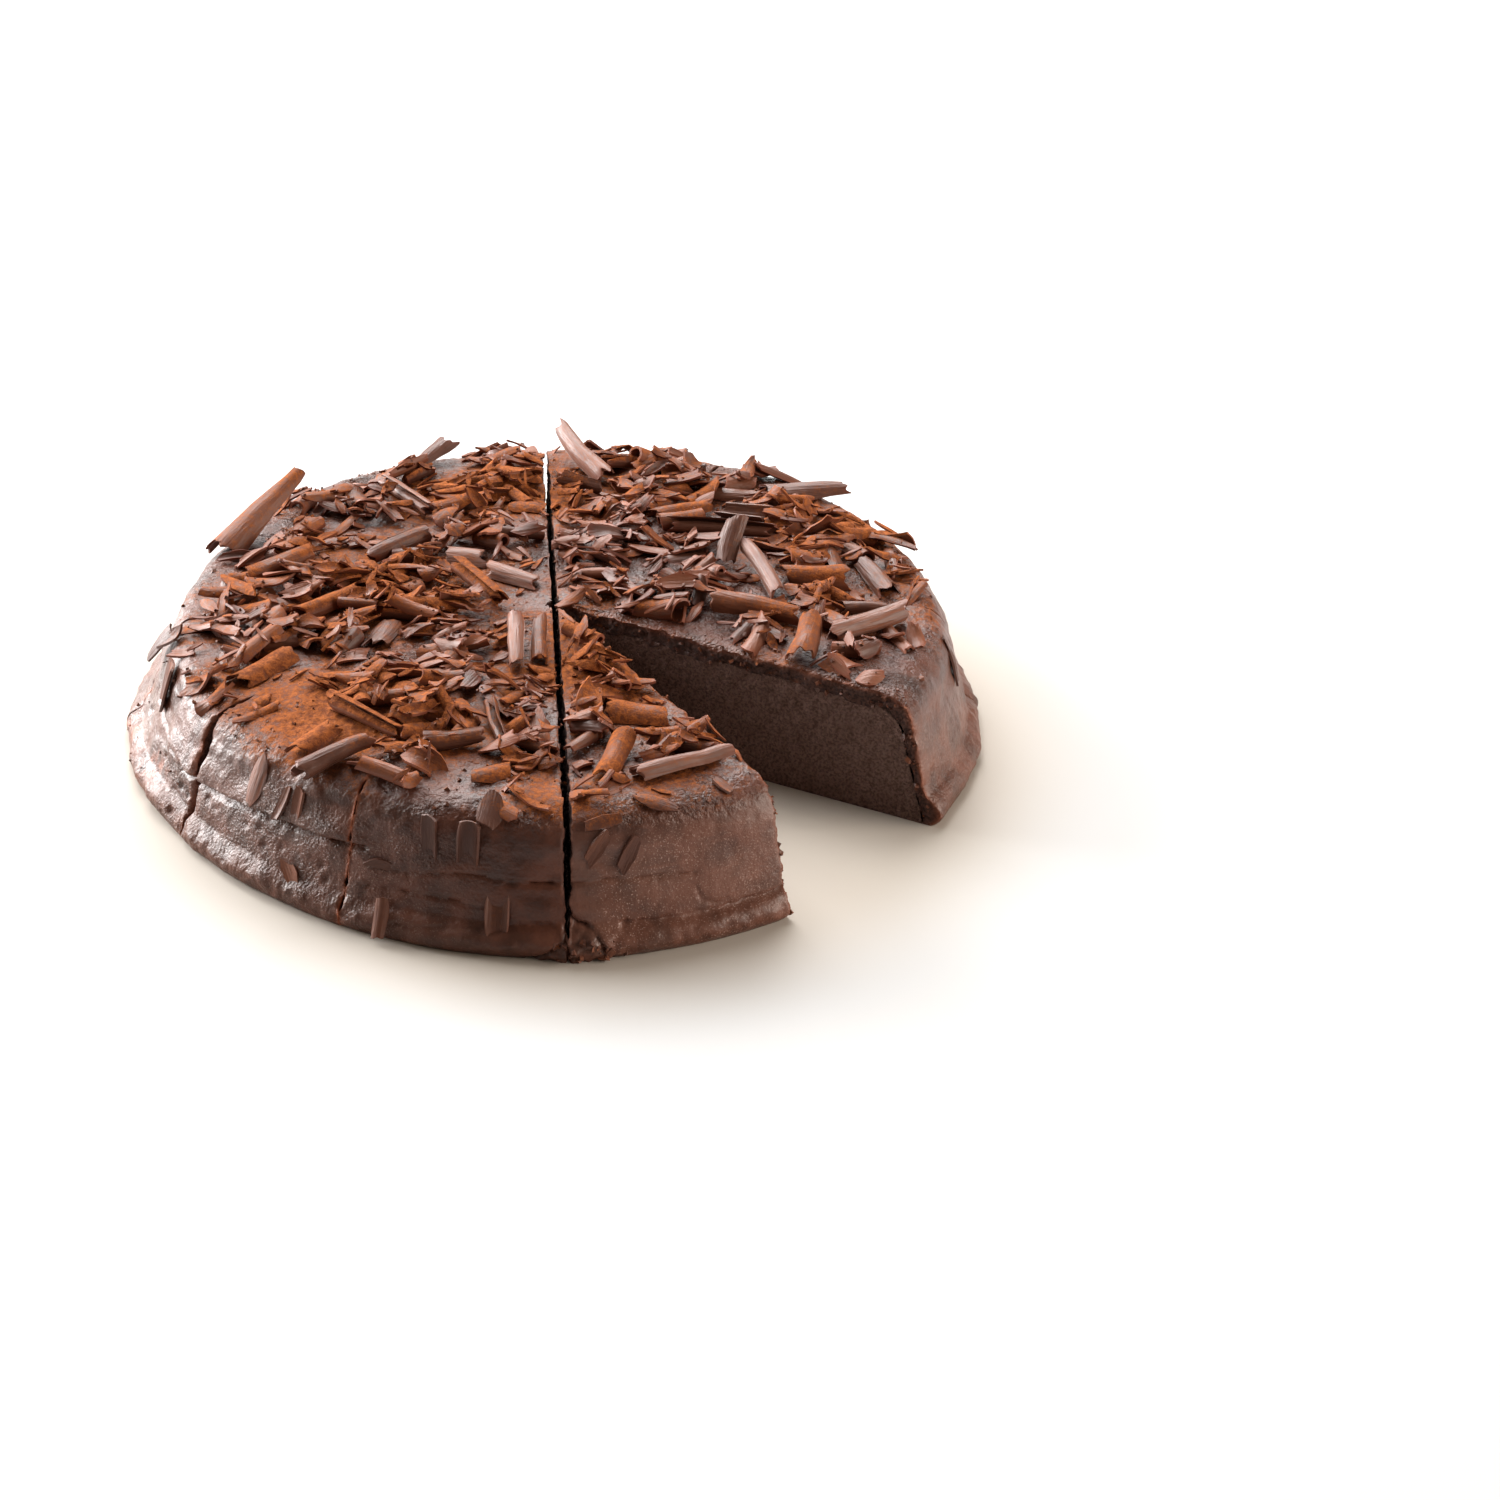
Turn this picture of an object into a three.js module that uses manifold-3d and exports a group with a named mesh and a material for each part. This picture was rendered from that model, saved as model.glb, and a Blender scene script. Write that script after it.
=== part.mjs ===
// Triple chocolate cake: a round chocolate sponge under chocolate icing, strewn with curls and
// flakes of chocolate, and cut into portions of a twelfth, with a gap one portion wide.
// Millimetres, +Z up. The origin is the middle of the base, and the front of the cake is -Y.
import * as THREE from "three";
import { mergeVertices } from "three/addons/utils/BufferGeometryUtils.js";
import Module from "manifold-3d";

// Driving dimensions of the cake
const CAKE_RADIUS = 125; // out to the lip of icing round the base
const CAKE_HEIGHT = 40.5; // top of the icing, in the middle
const ICING_TOP = 4.8; // icing on top of the sponge
const ICING_SIDE = 3.4; // icing round the sponge, at half height
const FIT_GAP = 0.3; // between pieces that lie against each other
const MERGE = 1e-3; // vertices closer than this are one

// Outline of the iced cake
const BASE_INSET = 2; // the foot of the lip, inside its widest line
const LIP_HEIGHT = 9; // icing that has run down and spread at the base
const LIP_INSET = 4.4; // the neck above the lip, inside its widest line
const WALL_TOP_INSET = 9.5; // the side leans in as it rises
const WALL_TOP = 27; // height where the shoulder starts
const SHOULDER_INSET = 22; // the shoulder runs in to here
const SHOULDER_DROP = 1.4; // its inner end, below the middle of the top
const CURVE_STEPS = 4;
const ROUND_STEPS = 60;

// Unevenness of baked and iced things
const RIM_SWELL = 0.9; // how far the rim strays from a circle
const OVAL_SHARE = 0.6; // of that swell, how much of it makes the rim oval
const TOP_WAVE = 0.8; // how far the top strays from level
const WAVE_LENGTH = 23;
const WAVE_START = new THREE.Vector2(0.4, -0.7);
// Where the rim has slumped: bearing from +X and spread in degrees, how far it sank and drew in
const SLUMPS = [
  { bearing: 172, spread: 25, sunk: 3.7, drawn: 8 },
  { bearing: 102, spread: 38, sunk: 7.2, drawn: 2 },
];
const SLUMP_POWER = 4; // how sharply a slump fades towards the middle of the cake

// Cuts
const PORTIONS = 12;
const GAP_PORTION = 10; // where the cake stands open, counted anticlockwise from +X
const KNIFE_CUT = 0.7;
const WIDE_CUTS = { 3: 1.7, 7: 1.6, 9: 1.8 }; // wider cuts by number, anticlockwise from +X

// Chocolate curls and flakes
const SHEET = 1; // thickness of the shaved chocolate
const COIL_PITCH = 3 * SHEET; // how far a strip closes in for each turn past half a turn
const GUTTER = { radius: [4, 6.5], rolled: [0.2, 0.36], steps: 2 }; // a shallow flake, in turns
const QUILL = { radius: [2.2, 3], rolled: [0.5, 0.7], steps: 4 }; // a tighter one
const QUILL_SHARE = 0.3; // of the flakes, the rest are gutters
const FLAKE_LENGTH = [8, 15];
const SEED = 20;
const FLAKE_TRIES = 2600;
const FLAKE_SPACING = 13;
const FLAKE_RIM = 112; // flakes lie on the top out to this radius
const FLAKE_SINK = 0.5; // how deep a flake is pressed into the icing
const SIDE_FLAKES = 17; // flakes that have slid down and stuck to the side
const LARGEST_TILT = 0.3; // radians
const LARGEST_SLANT = 0.5; // how far a flake's ends are off square
const HOLLOW_UP_SHARE = 0.35; // of the flakes on the top, the rest lie like roofs
const CURL_SLANT = 0.25; // how far a large curl's ends are off square
const CURL_ROOM_SIDES = 8;

// The largest curls, each a piece of its own: bearing from +X and distance out from the middle,
// the way its length points, its length, its radius and how many turns it is rolled, how far it is
// turned over from lying hollow side up, and how far one end is propped up. Angles are in degrees.
const BIG_CURLS = [
  { bearing: 149, out: 100, turn: 50, length: 38, radius: 4.2, rolled: 0.55, face: 180, prop: 18 },
  { bearing: 110, out: 103, turn: 57, length: 18, radius: 3, rolled: 0.55, face: 180, prop: 14 },
  { bearing: 123, out: 79, turn: 120, length: 26, radius: 3.2, rolled: 1.1, face: 0, prop: 0 },
  { bearing: 83, out: 92, turn: 117, length: 30, radius: 3.2, rolled: 0.6, face: 160, prop: 12 },
  { bearing: 41, out: 103, turn: 9, length: 25, radius: 5, rolled: 0.45, face: 180, prop: 7 },
  { bearing: 39, out: 65, turn: 173, length: 31, radius: 3.1, rolled: 1.05, face: 0, prop: 0 },
  { bearing: 13, out: 63, turn: 107, length: 26, radius: 2.6, rolled: 0.6, face: 150, prop: 6 },
  { bearing: 9, out: 78, turn: 176, length: 18, radius: 4, rolled: 0.6, face: 170, prop: 0 },
  { bearing: 352, out: 58, turn: 165, length: 25, radius: 3.6, rolled: 0.6, face: 170, prop: 3 },
  { bearing: 339, out: 76, turn: 76, length: 18, radius: 4, rolled: 0.6, face: 180, prop: 12 },
  { bearing: 349, out: 91, turn: 33, length: 27, radius: 3.6, rolled: 1.15, face: 0, prop: 0 },
  { bearing: 180, out: 65, turn: 39, length: 22, radius: 3.2, rolled: 0.7, face: 180, prop: 0 },
  { bearing: 161, out: 23, turn: 121, length: 22, radius: 3.6, rolled: 1.15, face: 0, prop: 4 },
  { bearing: 132, out: 38, turn: 163, length: 12, radius: 4.6, rolled: 0.38, face: 180, prop: 0 },
  { bearing: 231, out: 86, turn: 136, length: 25, radius: 3.2, rolled: 1.1, face: 0, prop: 0 },
  { bearing: 249, out: 85, turn: 12, length: 16, radius: 3.2, rolled: 1.1, face: 0, prop: 0 },
  { bearing: 228, out: 102, turn: 54, length: 16, radius: 3.6, rolled: 0.5, face: 180, prop: 0 },
  { bearing: 255, out: 72, turn: 97, length: 21, radius: 2.6, rolled: 0.9, face: 0, prop: 0 },
  { bearing: 248, out: 31, turn: 89, length: 22, radius: 2.6, rolled: 0.6, face: 150, prop: 8 },
  { bearing: 289, out: 97, turn: 25, length: 28, radius: 3, rolled: 0.6, face: 170, prop: 0 },
  { bearing: 279, out: 88, turn: 71, length: 22, radius: 3.4, rolled: 0.45, face: 180, prop: 6 },
  { bearing: 288, out: 67, turn: 164, length: 17, radius: 5, rolled: 0.4, face: 180, prop: 0 },
  { bearing: 203, out: 90, turn: 44, length: 20, radius: 4.5, rolled: 0.4, face: 180, prop: 0 },
  { bearing: 143, out: 56, turn: 38, length: 22, radius: 3.2, rolled: 1.1, face: 0, prop: 0 },
  { bearing: 81, out: 73, turn: 150, length: 14, radius: 3.6, rolled: 0.5, face: 60, prop: 0 },
  { bearing: 54, out: 67, turn: 22, length: 18, radius: 3.2, rolled: 0.55, face: 170, prop: 0 },
  { bearing: 9, out: 96, turn: 110, length: 20, radius: 3.4, rolled: 0.55, face: 180, prop: 0 },
  { bearing: 164, out: 83, turn: 40, length: 24, radius: 3.4, rolled: 1.1, face: 0, prop: 0 },
  { bearing: 234, out: 106, turn: 28, length: 22, radius: 3.4, rolled: 0.8, face: 180, prop: 0 },
  { bearing: 41, out: 77, turn: 166, length: 14, radius: 4, rolled: 0.5, face: 0, prop: 0 },
  { bearing: 200, out: 52, turn: 69, length: 14, radius: 5, rolled: 0.25, face: 180, prop: 0 },
  { bearing: 357, out: 90, turn: 1, length: 14, radius: 2.4, rolled: 0.6, face: 180, prop: 0 },
  { bearing: 28, out: 60, turn: 71, length: 16, radius: 4, rolled: 0.3, face: 180, prop: 35 },
  { bearing: 127, out: 19, turn: 145, length: 16, radius: 3.6, rolled: 0.45, face: 180, prop: 0 },
  { bearing: 259, out: 26, turn: 89, length: 20, radius: 2.4, rolled: 0.6, face: 190, prop: 8 },
];

// Materials
const sponge = new THREE.MeshStandardMaterial({ color: 0x3b2317, roughness: 0.95, metalness: 0 });
const icing = new THREE.MeshStandardMaterial({ color: 0x4a2f26, roughness: 0.45, metalness: 0 });
const chocolate = new THREE.MeshStandardMaterial({ color: 0x5d3722, roughness: 0.5, metalness: 0 });

const wasm = await Module();
wasm.setup();

// Repeatable draws, from 0 to 1 or within a range
THREE.MathUtils.seededRandom(SEED);
function random() {
  return THREE.MathUtils.seededRandom();
}
function between([low, high]) {
  return THREE.MathUtils.lerp(low, high, random());
}
function within(most) {
  return between([-most, most]);
}

// A closed geometry as a solid that can be joined and cut
function solidOf(geometry) {
  const bare = geometry.index ? geometry.toNonIndexed() : geometry.clone();
  bare.deleteAttribute("normal");
  bare.deleteAttribute("uv");
  const merged = mergeVertices(bare, MERGE);
  return new wasm.Manifold(
    new wasm.Mesh({
      numProp: 3,
      vertProperties: merged.attributes.position.array,
      triVerts: new Uint32Array(merged.index.array),
    }),
  );
}

// A solid back as a geometry
function geometryOf(solid) {
  const mesh = solid.getMesh();
  const geometry = new THREE.BufferGeometry();
  geometry.setAttribute("position", new THREE.BufferAttribute(mesh.vertProperties, mesh.numProp));
  geometry.setIndex(new THREE.BufferAttribute(mesh.triVerts, 1));
  geometry.computeVertexNormals();
  return geometry;
}

// The largest body of a solid: loose scraps are dropped and sealed hollows filled
function mainBody(solid) {
  return solid.decompose().reduce((best, body) => (body.volume() > best.volume() ? body : best));
}

// How much of a slump reaches a point, from 0 to 1: most at the rim, at the top and near its bearing
function slumpShare({ bearing, spread }, x, y, z) {
  const away = THREE.MathUtils.radToDeg(Math.atan2(y, x)) - bearing;
  const off = THREE.MathUtils.euclideanModulo(away + 180, 360) - 180;
  const rim = (Math.hypot(x, y) / CAKE_RADIUS) ** SLUMP_POWER;
  return (Math.exp(-((off / spread) ** 2)) * rim * z) / CAKE_HEIGHT;
}

// Nothing baked is quite round or level: moves the points of a turned shape a little
function settle(geometry) {
  const position = geometry.attributes.position;
  for (let i = 0; i < position.count; i++) {
    const x = position.getX(i);
    const y = position.getY(i);
    const z = position.getZ(i);
    const bearing = Math.atan2(x, -y);
    const swell = RIM_SWELL * (OVAL_SHARE * Math.cos(2 * bearing) + Math.cos(4 * bearing));
    const wave = Math.sin(x / WAVE_LENGTH + WAVE_START.x) * Math.cos(y / WAVE_LENGTH + WAVE_START.y);
    let grow = 1 + swell / CAKE_RADIUS;
    let height = z + (TOP_WAVE * wave * z) / CAKE_HEIGHT;
    for (const slump of SLUMPS) {
      const share = slumpShare(slump, x, y, z);
      grow -= (slump.drawn * share) / CAKE_RADIUS;
      height -= slump.sunk * share;
    }
    position.setXYZ(i, x * grow, y * grow, height);
  }
  return geometry;
}

// Turns half a cross-section, given as distance from the axis and height, round the cake's axis
function turned(profile) {
  return settle(new THREE.LatheGeometry(profile, ROUND_STEPS).rotateX(Math.PI / 2));
}

// Half the outside of the iced cake, from the edge of the base up to the middle of the top
function icedOutline() {
  const neck = CAKE_RADIUS - LIP_INSET;
  const wallTop = CAKE_RADIUS - WALL_TOP_INSET;
  const shoulder = CAKE_RADIUS - SHOULDER_INSET;
  const shoulderHeight = CAKE_HEIGHT - SHOULDER_DROP;
  const path = new THREE.Path();
  path.moveTo(CAKE_RADIUS - BASE_INSET, 0);
  path.quadraticCurveTo(CAKE_RADIUS + BASE_INSET, LIP_HEIGHT / 2, neck, LIP_HEIGHT);
  path.lineTo(wallTop, WALL_TOP);
  path.quadraticCurveTo(wallTop - BASE_INSET, shoulderHeight, shoulder, shoulderHeight);
  path.quadraticCurveTo(shoulder / 2, CAKE_HEIGHT, 0, CAKE_HEIGHT);
  return path.getPoints(CURVE_STEPS);
}

// Half the outside of the sponge, from the edge of the base up to the middle of the top
function spongeOutline(grow) {
  const base = CAKE_RADIUS - LIP_INSET - ICING_SIDE / 2 + grow;
  const wallTop = CAKE_RADIUS - WALL_TOP_INSET - ICING_SIDE + grow;
  const shoulder = CAKE_RADIUS - SHOULDER_INSET - ICING_SIDE;
  const height = CAKE_HEIGHT - SHOULDER_DROP - ICING_TOP + grow;
  const path = new THREE.Path();
  path.moveTo(base, 0);
  path.lineTo(wallTop, WALL_TOP - ICING_TOP / 2);
  path.quadraticCurveTo(wallTop - BASE_INSET, height, shoulder, height);
  path.quadraticCurveTo(shoulder / 2, height + SHOULDER_DROP, 0, height + SHOULDER_DROP);
  return path.getPoints(CURVE_STEPS);
}

// The whole sponge, before it is cut
function wholeSponge() {
  return turned([new THREE.Vector2(0, 0), ...spongeOutline(0)]);
}

// The whole coat of icing, before it is strewn and cut
function wholeIcing() {
  return turned([...spongeOutline(FIT_GAP).reverse(), ...icedOutline()]);
}

// The room of one portion between its two cuts, taller than the cake
function portionRoom(number) {
  const step = (2 * Math.PI) / PORTIONS;
  const width = (cut) => WIDE_CUTS[cut % PORTIONS] ?? KNIFE_CUT;
  const first = number * step;
  const last = first + step;
  const firstWidth = width(number) / 2;
  const lastWidth = width(number + 1) / 2;
  // The tip is where the two cut faces meet, each set back by half the width of its cut.
  const along = (lastWidth + firstWidth * Math.cos(step)) / Math.sin(step);
  const tip = new THREE.Vector2(
    along * Math.cos(first) - firstWidth * Math.sin(first),
    along * Math.sin(first) + firstWidth * Math.cos(first),
  );
  const reach = 2 * CAKE_RADIUS;
  const corner = (angle) =>
    new THREE.Vector2(tip.x + reach * Math.cos(angle), tip.y + reach * Math.sin(angle));
  const outline = new THREE.Shape([tip, corner(first), corner(last)]);
  const depth = 3 * CAKE_HEIGHT;
  const room = new THREE.ExtrudeGeometry(outline, { depth, bevelEnabled: false });
  return solidOf(room.translate(0, 0, -CAKE_HEIGHT));
}

// A shaving of chocolate, lying hollow side up along X with its roll round that line. rolled is in turns.
function shaving({ length, radius, rolled, steps, slant = 0 }) {
  const edge = (side) =>
    Array.from({ length: steps + 1 }, (_, i) => {
      const share = i / steps;
      const angle = Math.PI * (1.5 + 2 * rolled * (share - 0.5));
      const tightening = Math.max(0, rolled - 0.5) * COIL_PITCH * share;
      const reach = radius - tightening - side * SHEET;
      return new THREE.Vector2(reach * Math.cos(angle), reach * Math.sin(angle));
    });
  const section = new THREE.Shape([...edge(0), ...edge(1).reverse()]);
  const shape = new THREE.ExtrudeGeometry(section, { depth: length, bevelEnabled: false });
  shape.translate(0, 0, -length / 2);
  const position = shape.attributes.position;
  for (let i = 0; i < position.count; i++) {
    position.setZ(i, position.getZ(i) + slant * position.getX(i));
  }
  return shape.rotateX(Math.PI / 2).rotateZ(Math.PI / 2);
}

const icedCake = new THREE.Mesh(wholeIcing(), icing);
const ray = new THREE.Raycaster();

// Where a line from a point, in a direction, first meets the icing
function meetIcing(from, direction) {
  ray.set(from, direction);
  return ray.intersectObject(icedCake)[0];
}
function topUnder(x, y) {
  return meetIcing(new THREE.Vector3(x, y, 3 * CAKE_HEIGHT), new THREE.Vector3(0, 0, -1));
}

// The pose of a shaving on a spot of the icing: its upper side along the spot's normal, turned about it
function poseOn(spot, turn) {
  const upright = new THREE.Vector3(0, 0, 1);
  const lie = new THREE.Quaternion().setFromUnitVectors(upright, spot.face.normal);
  lie.multiply(new THREE.Quaternion().setFromAxisAngle(upright, turn));
  return new THREE.Matrix4().makeRotationFromQuaternion(lie).setPosition(spot.point);
}

// Stands a shaving on its lowest line, sunk a little below it
function footed(geometry, sink) {
  geometry.computeBoundingBox();
  return geometry.translate(0, 0, -geometry.boundingBox.min.z - sink);
}

// The corners of a geometry's triangles and the middles of their sides
function cornersAndMiddles(geometry) {
  const position = geometry.attributes.position;
  const corner = (i) => new THREE.Vector3().fromBufferAttribute(position, i);
  return Array.from({ length: position.count }, (_, i) => {
    const next = i % 3 === 2 ? i - 2 : i + 1;
    return [corner(i), corner(i).lerp(corner(next), 0.5)];
  }).flat();
}

// A large curl resting on the icing, and the room it takes there, which the flakes keep out of
function bigCurl({ bearing, out, turn, length, radius, rolled, face, prop }) {
  const angle = THREE.MathUtils.degToRad(bearing);
  const spot = topUnder(out * Math.cos(angle), out * Math.sin(angle));
  const pose = poseOn(spot, THREE.MathUtils.degToRad(turn));
  pose.multiply(new THREE.Matrix4().makeRotationY(-THREE.MathUtils.degToRad(prop)));
  pose.multiply(new THREE.Matrix4().makeRotationX(THREE.MathUtils.degToRad(face)));
  const steps = Math.max(CURVE_STEPS, Math.round(2 * CURVE_STEPS * rolled));
  const shape = shaving({ length, radius, rolled, steps, slant: CURL_SLANT }).applyMatrix4(pose);
  // Lowers or lifts the curl until its nearest point is just clear of the icing.
  const clearances = cornersAndMiddles(shape).map((point) => {
    const under = topUnder(point.x, point.y);
    return under ? point.z - under.point.z : Infinity;
  });
  const lift = FIT_GAP - Math.min(...clearances);
  const reach = radius + FIT_GAP;
  const room = new THREE.CylinderGeometry(reach, reach, length + radius, CURL_ROOM_SIDES);
  room.rotateZ(Math.PI / 2).applyMatrix4(pose).translate(0, 0, lift);
  return { shape: shape.translate(0, 0, lift), room: solidOf(room) };
}

// A small flake for the icing: mostly a shallow gutter, at times a tighter quill
function flake() {
  const { radius, rolled, steps } = random() < QUILL_SHARE ? QUILL : GUTTER;
  return shaving({
    length: between(FLAKE_LENGTH),
    radius: between(radius),
    rolled: between(rolled),
    steps,
    slant: within(LARGEST_SLANT),
  });
}

// Flakes over the top, spread evenly, clear of the large curls
function topFlakes(rooms) {
  const placed = [];
  const spots = [];
  for (let i = 0; i < FLAKE_TRIES; i++) {
    const out = FLAKE_RIM * Math.sqrt(random());
    const bearing = 2 * Math.PI * random();
    const spot = topUnder(out * Math.cos(bearing), out * Math.sin(bearing));
    if (spots.some((point) => point.distanceTo(spot.point) < FLAKE_SPACING)) continue;
    const turnedOver = random() < HOLLOW_UP_SHARE ? 0 : Math.PI;
    const geometry = flake().rotateX(turnedOver + within(LARGEST_TILT));
    geometry.rotateY(within(LARGEST_TILT));
    footed(geometry, FLAKE_SINK).applyMatrix4(poseOn(spot, 2 * Math.PI * random()));
    const solid = solidOf(geometry);
    if (rooms.some((room) => !room.intersect(solid).isEmpty())) continue;
    spots.push(spot.point);
    placed.push(solid);
  }
  return placed;
}

// Flakes on the side, upright, spread round it
function sideFlakes() {
  return Array.from({ length: SIDE_FLAKES }, (_, i) => {
    const bearing = (2 * Math.PI * (i + random())) / SIDE_FLAKES;
    const outward = new THREE.Vector3(Math.cos(bearing), Math.sin(bearing), 0);
    const from = outward.clone().multiplyScalar(2 * CAKE_RADIUS).setZ(between([LIP_HEIGHT, WALL_TOP]));
    const spot = meetIcing(from, outward.clone().negate());
    const geometry = footed(flake().rotateX(Math.PI + within(LARGEST_TILT)), FLAKE_SINK);
    return solidOf(geometry.applyMatrix4(poseOn(spot, bearing + within(2 * LARGEST_TILT))));
  });
}

const cake = new THREE.Group();
function addPiece(name, geometry, material) {
  const piece = new THREE.Mesh(geometry, material);
  piece.name = name;
  cake.add(piece);
}
const numbered = (name, number) => `${name}_${String(number).padStart(2, "0")}`;

// The large curls first, then the flakes that fill in between them
const curls = BIG_CURLS.map(bigCurl);
const flakes = [...topFlakes(curls.map((curl) => curl.room)), ...sideFlakes()];
const strewnIcing = flakes.reduce((whole, piece) => whole.add(piece), solidOf(icedCake.geometry));
const bakedSponge = solidOf(wholeSponge());

// The portions, as the knife leaves them
for (let number = 0; number < PORTIONS; number++) {
  if (number === GAP_PORTION) continue;
  const room = portionRoom(number);
  addPiece(numbered("sponge", number), geometryOf(mainBody(bakedSponge.intersect(room))), sponge);
  addPiece(numbered("icing", number), geometryOf(mainBody(strewnIcing.intersect(room))), icing);
}
curls.forEach((curl, i) => addPiece(numbered("curl", i + 1), curl.shape, chocolate));

export default cake;
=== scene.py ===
# %% [markdown]
# # A triple chocolate cake
#
# A round chocolate sponge wears a coat of chocolate icing. Its top is strewn with curls, flakes and
# splinters of shaved chocolate and dusted with cocoa, and a knife has cut it into portions of a twelfth,
# with a gap one portion wide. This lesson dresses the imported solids: it loads them as a fixed frame, models
# each portion again with a finer skin, and lays the shavings on top as they would fall.

# %% Load the frame
import math
from contextlib import contextmanager

import bpy
import numpy as np
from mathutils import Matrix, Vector


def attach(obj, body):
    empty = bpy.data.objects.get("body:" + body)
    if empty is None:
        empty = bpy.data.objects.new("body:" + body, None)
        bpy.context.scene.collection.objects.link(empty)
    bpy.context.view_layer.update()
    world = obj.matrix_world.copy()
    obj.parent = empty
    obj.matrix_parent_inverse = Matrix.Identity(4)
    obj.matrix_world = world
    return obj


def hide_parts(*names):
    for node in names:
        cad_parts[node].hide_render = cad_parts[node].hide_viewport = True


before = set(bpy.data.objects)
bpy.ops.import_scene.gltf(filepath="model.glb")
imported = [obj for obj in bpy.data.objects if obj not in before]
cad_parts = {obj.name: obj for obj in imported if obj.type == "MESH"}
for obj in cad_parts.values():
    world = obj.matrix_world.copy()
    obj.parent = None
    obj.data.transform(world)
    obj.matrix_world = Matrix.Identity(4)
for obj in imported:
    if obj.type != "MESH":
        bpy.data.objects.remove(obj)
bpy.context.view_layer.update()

# %% [markdown]
# The sizes are those of the solids, in metres. Everything else in this file is worked out from them, so a
# finer skin still lands where the frame says.

# %% Sizes of the cake
MM = 0.001
RADIUS = 125 * MM
HEIGHT = 40.5 * MM
ICING_TOP = 4.8 * MM
ICING_SIDE = 3.4 * MM
FIT_GAP = 0.3 * MM
BASE_INSET = 2 * MM
LIP_HEIGHT = 9 * MM
LIP_INSET = 4.4 * MM
WALL_TOP_INSET = 9.5 * MM
WALL_TOP = 27 * MM
SHOULDER_INSET = 22 * MM
SHOULDER_DROP = 1.4 * MM
RIM_SWELL = 0.9 * MM
OVAL_SHARE = 0.6
TOP_WAVE = 0.8 * MM
WAVE_LENGTH = 23 * MM
WAVE_START = (0.4, -0.7)
# Where the rim has slumped: bearing and spread in degrees, how far it sank and drew in.
SLUMPS = [(172, 25, 3.7 * MM, 8 * MM), (102, 38, 7.2 * MM, 2 * MM)]
SLUMP_POWER = 4

PORTIONS = 12
GAP_PORTION = 10
STEP = 2 * math.pi / PORTIONS
KNIFE_CUT = 0.7 * MM
WIDE_CUTS = {3: 1.7 * MM, 7: 1.6 * MM, 9: 1.8 * MM}
NUMBERS = [number for number in range(PORTIONS) if number != GAP_PORTION]
CURLS = sorted(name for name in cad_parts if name.startswith("curl"))
rng = np.random.default_rng(20)
# Draws a number by lot between two limits.
lot = rng.uniform
print(len(NUMBERS), "portions and", len(CURLS), "large curls")

# %% [markdown]
# Operators act on whatever is selected, so one helper selects a single piece first. Others read and write
# all points of a mesh at once, which is far quicker than one by one.

# %% Helpers for pieces
def only(piece):
    """Makes one piece the only selected one, and the active one."""
    bpy.ops.object.select_all(action="DESELECT")
    piece.select_set(True)
    bpy.context.view_layer.objects.active = piece


def points_of(piece):
    """The points of a mesh as rows of x, y and z."""
    flat = np.empty(3 * len(piece.data.vertices))
    piece.data.vertices.foreach_get("co", flat)
    return flat.reshape(-1, 3)


def move_points(piece, points):
    """Puts the points of a mesh where the rows say."""
    piece.data.vertices.foreach_set("co", np.ascontiguousarray(points, dtype=float).ravel())
    piece.data.update()


def mark(piece, name, values):
    """Stores a number or a vector for each point, for materials and later steps to read."""
    values = np.asarray(values, dtype=np.float32)
    kind, key = ("FLOAT", "value") if values.ndim == 1 else ("FLOAT_VECTOR", "vector")
    layer = piece.data.attributes.new(name, kind, "POINT")
    layer.data.foreach_set(key, values.ravel())


def marked(piece, name):
    """The numbers that mark stored."""
    values = np.empty(len(piece.data.vertices), dtype=np.float32)
    piece.data.attributes[name].data.foreach_get("value", values)
    return values.astype(float)


@contextmanager
def editing():
    """Edit mode with all of the piece in hand selected, and object mode again afterwards."""
    bpy.ops.object.mode_set(mode="EDIT")
    bpy.ops.mesh.select_all(action="SELECT")
    yield
    bpy.ops.object.mode_set(mode="OBJECT")


def new_piece(name, mesh):
    """A piece with the given mesh, put into the scene."""
    piece = bpy.data.objects.new(name, mesh)
    bpy.context.collection.objects.link(piece)
    return piece


def joined(name, things, faces):
    """One mesh of many things with points of their own and the same faces."""
    piece = new_piece(name, bpy.data.meshes.new(name))
    starts = np.arange(len(things)) * len(things[0])
    all_faces = (faces[None] + starts[:, None, None]).reshape(-1, 4)
    piece.data.from_pydata(np.concatenate(things).tolist(), [], all_faces.tolist())
    return piece


# %% [markdown]
# Baked and spread things are uneven without being wild. Smooth noise does that: random values on a lattice,
# blended between its corners. Written for whole arrays, it can bend thousands of points in one call.

# %% Smooth noise and smooth steps
LATTICE = np.array([73856093, 19349663, 83492791])
SCRAMBLE = 1274126177
SEED_STEP = 7919


def noise(points, size, seed=0):
    """Values from -1 to 1 that change smoothly over about the given size."""
    cells = points / size + 1000
    corner = np.floor(cells).astype(np.int64)
    part = cells - corner
    part = part * part * (3 - 2 * part)
    total = np.zeros(len(points))
    for shift in np.ndindex(2, 2, 2):
        key = ((corner + shift) * LATTICE).sum(axis=1) + SEED_STEP * seed
        key = (key ^ (key >> 13)) * SCRAMBLE & 0x7FFFFFFF
        value = ((key ^ (key >> 15)) & 0xFFFF) / 0x7FFF - 1
        total += value * np.prod(np.where(shift, part, 1 - part), axis=1)
    return total


def ease(values, low, high):
    """0 below low, 1 above high, and a smooth rise between them."""
    share = np.clip((values - low) / (high - low), 0, 1)
    return share * share * (3 - 2 * share)


def hump(values, width):
    """1 where the values are 0, and a smooth fall to 0 over about the width to both sides."""
    return np.exp(-((values / width) ** 2))


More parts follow.
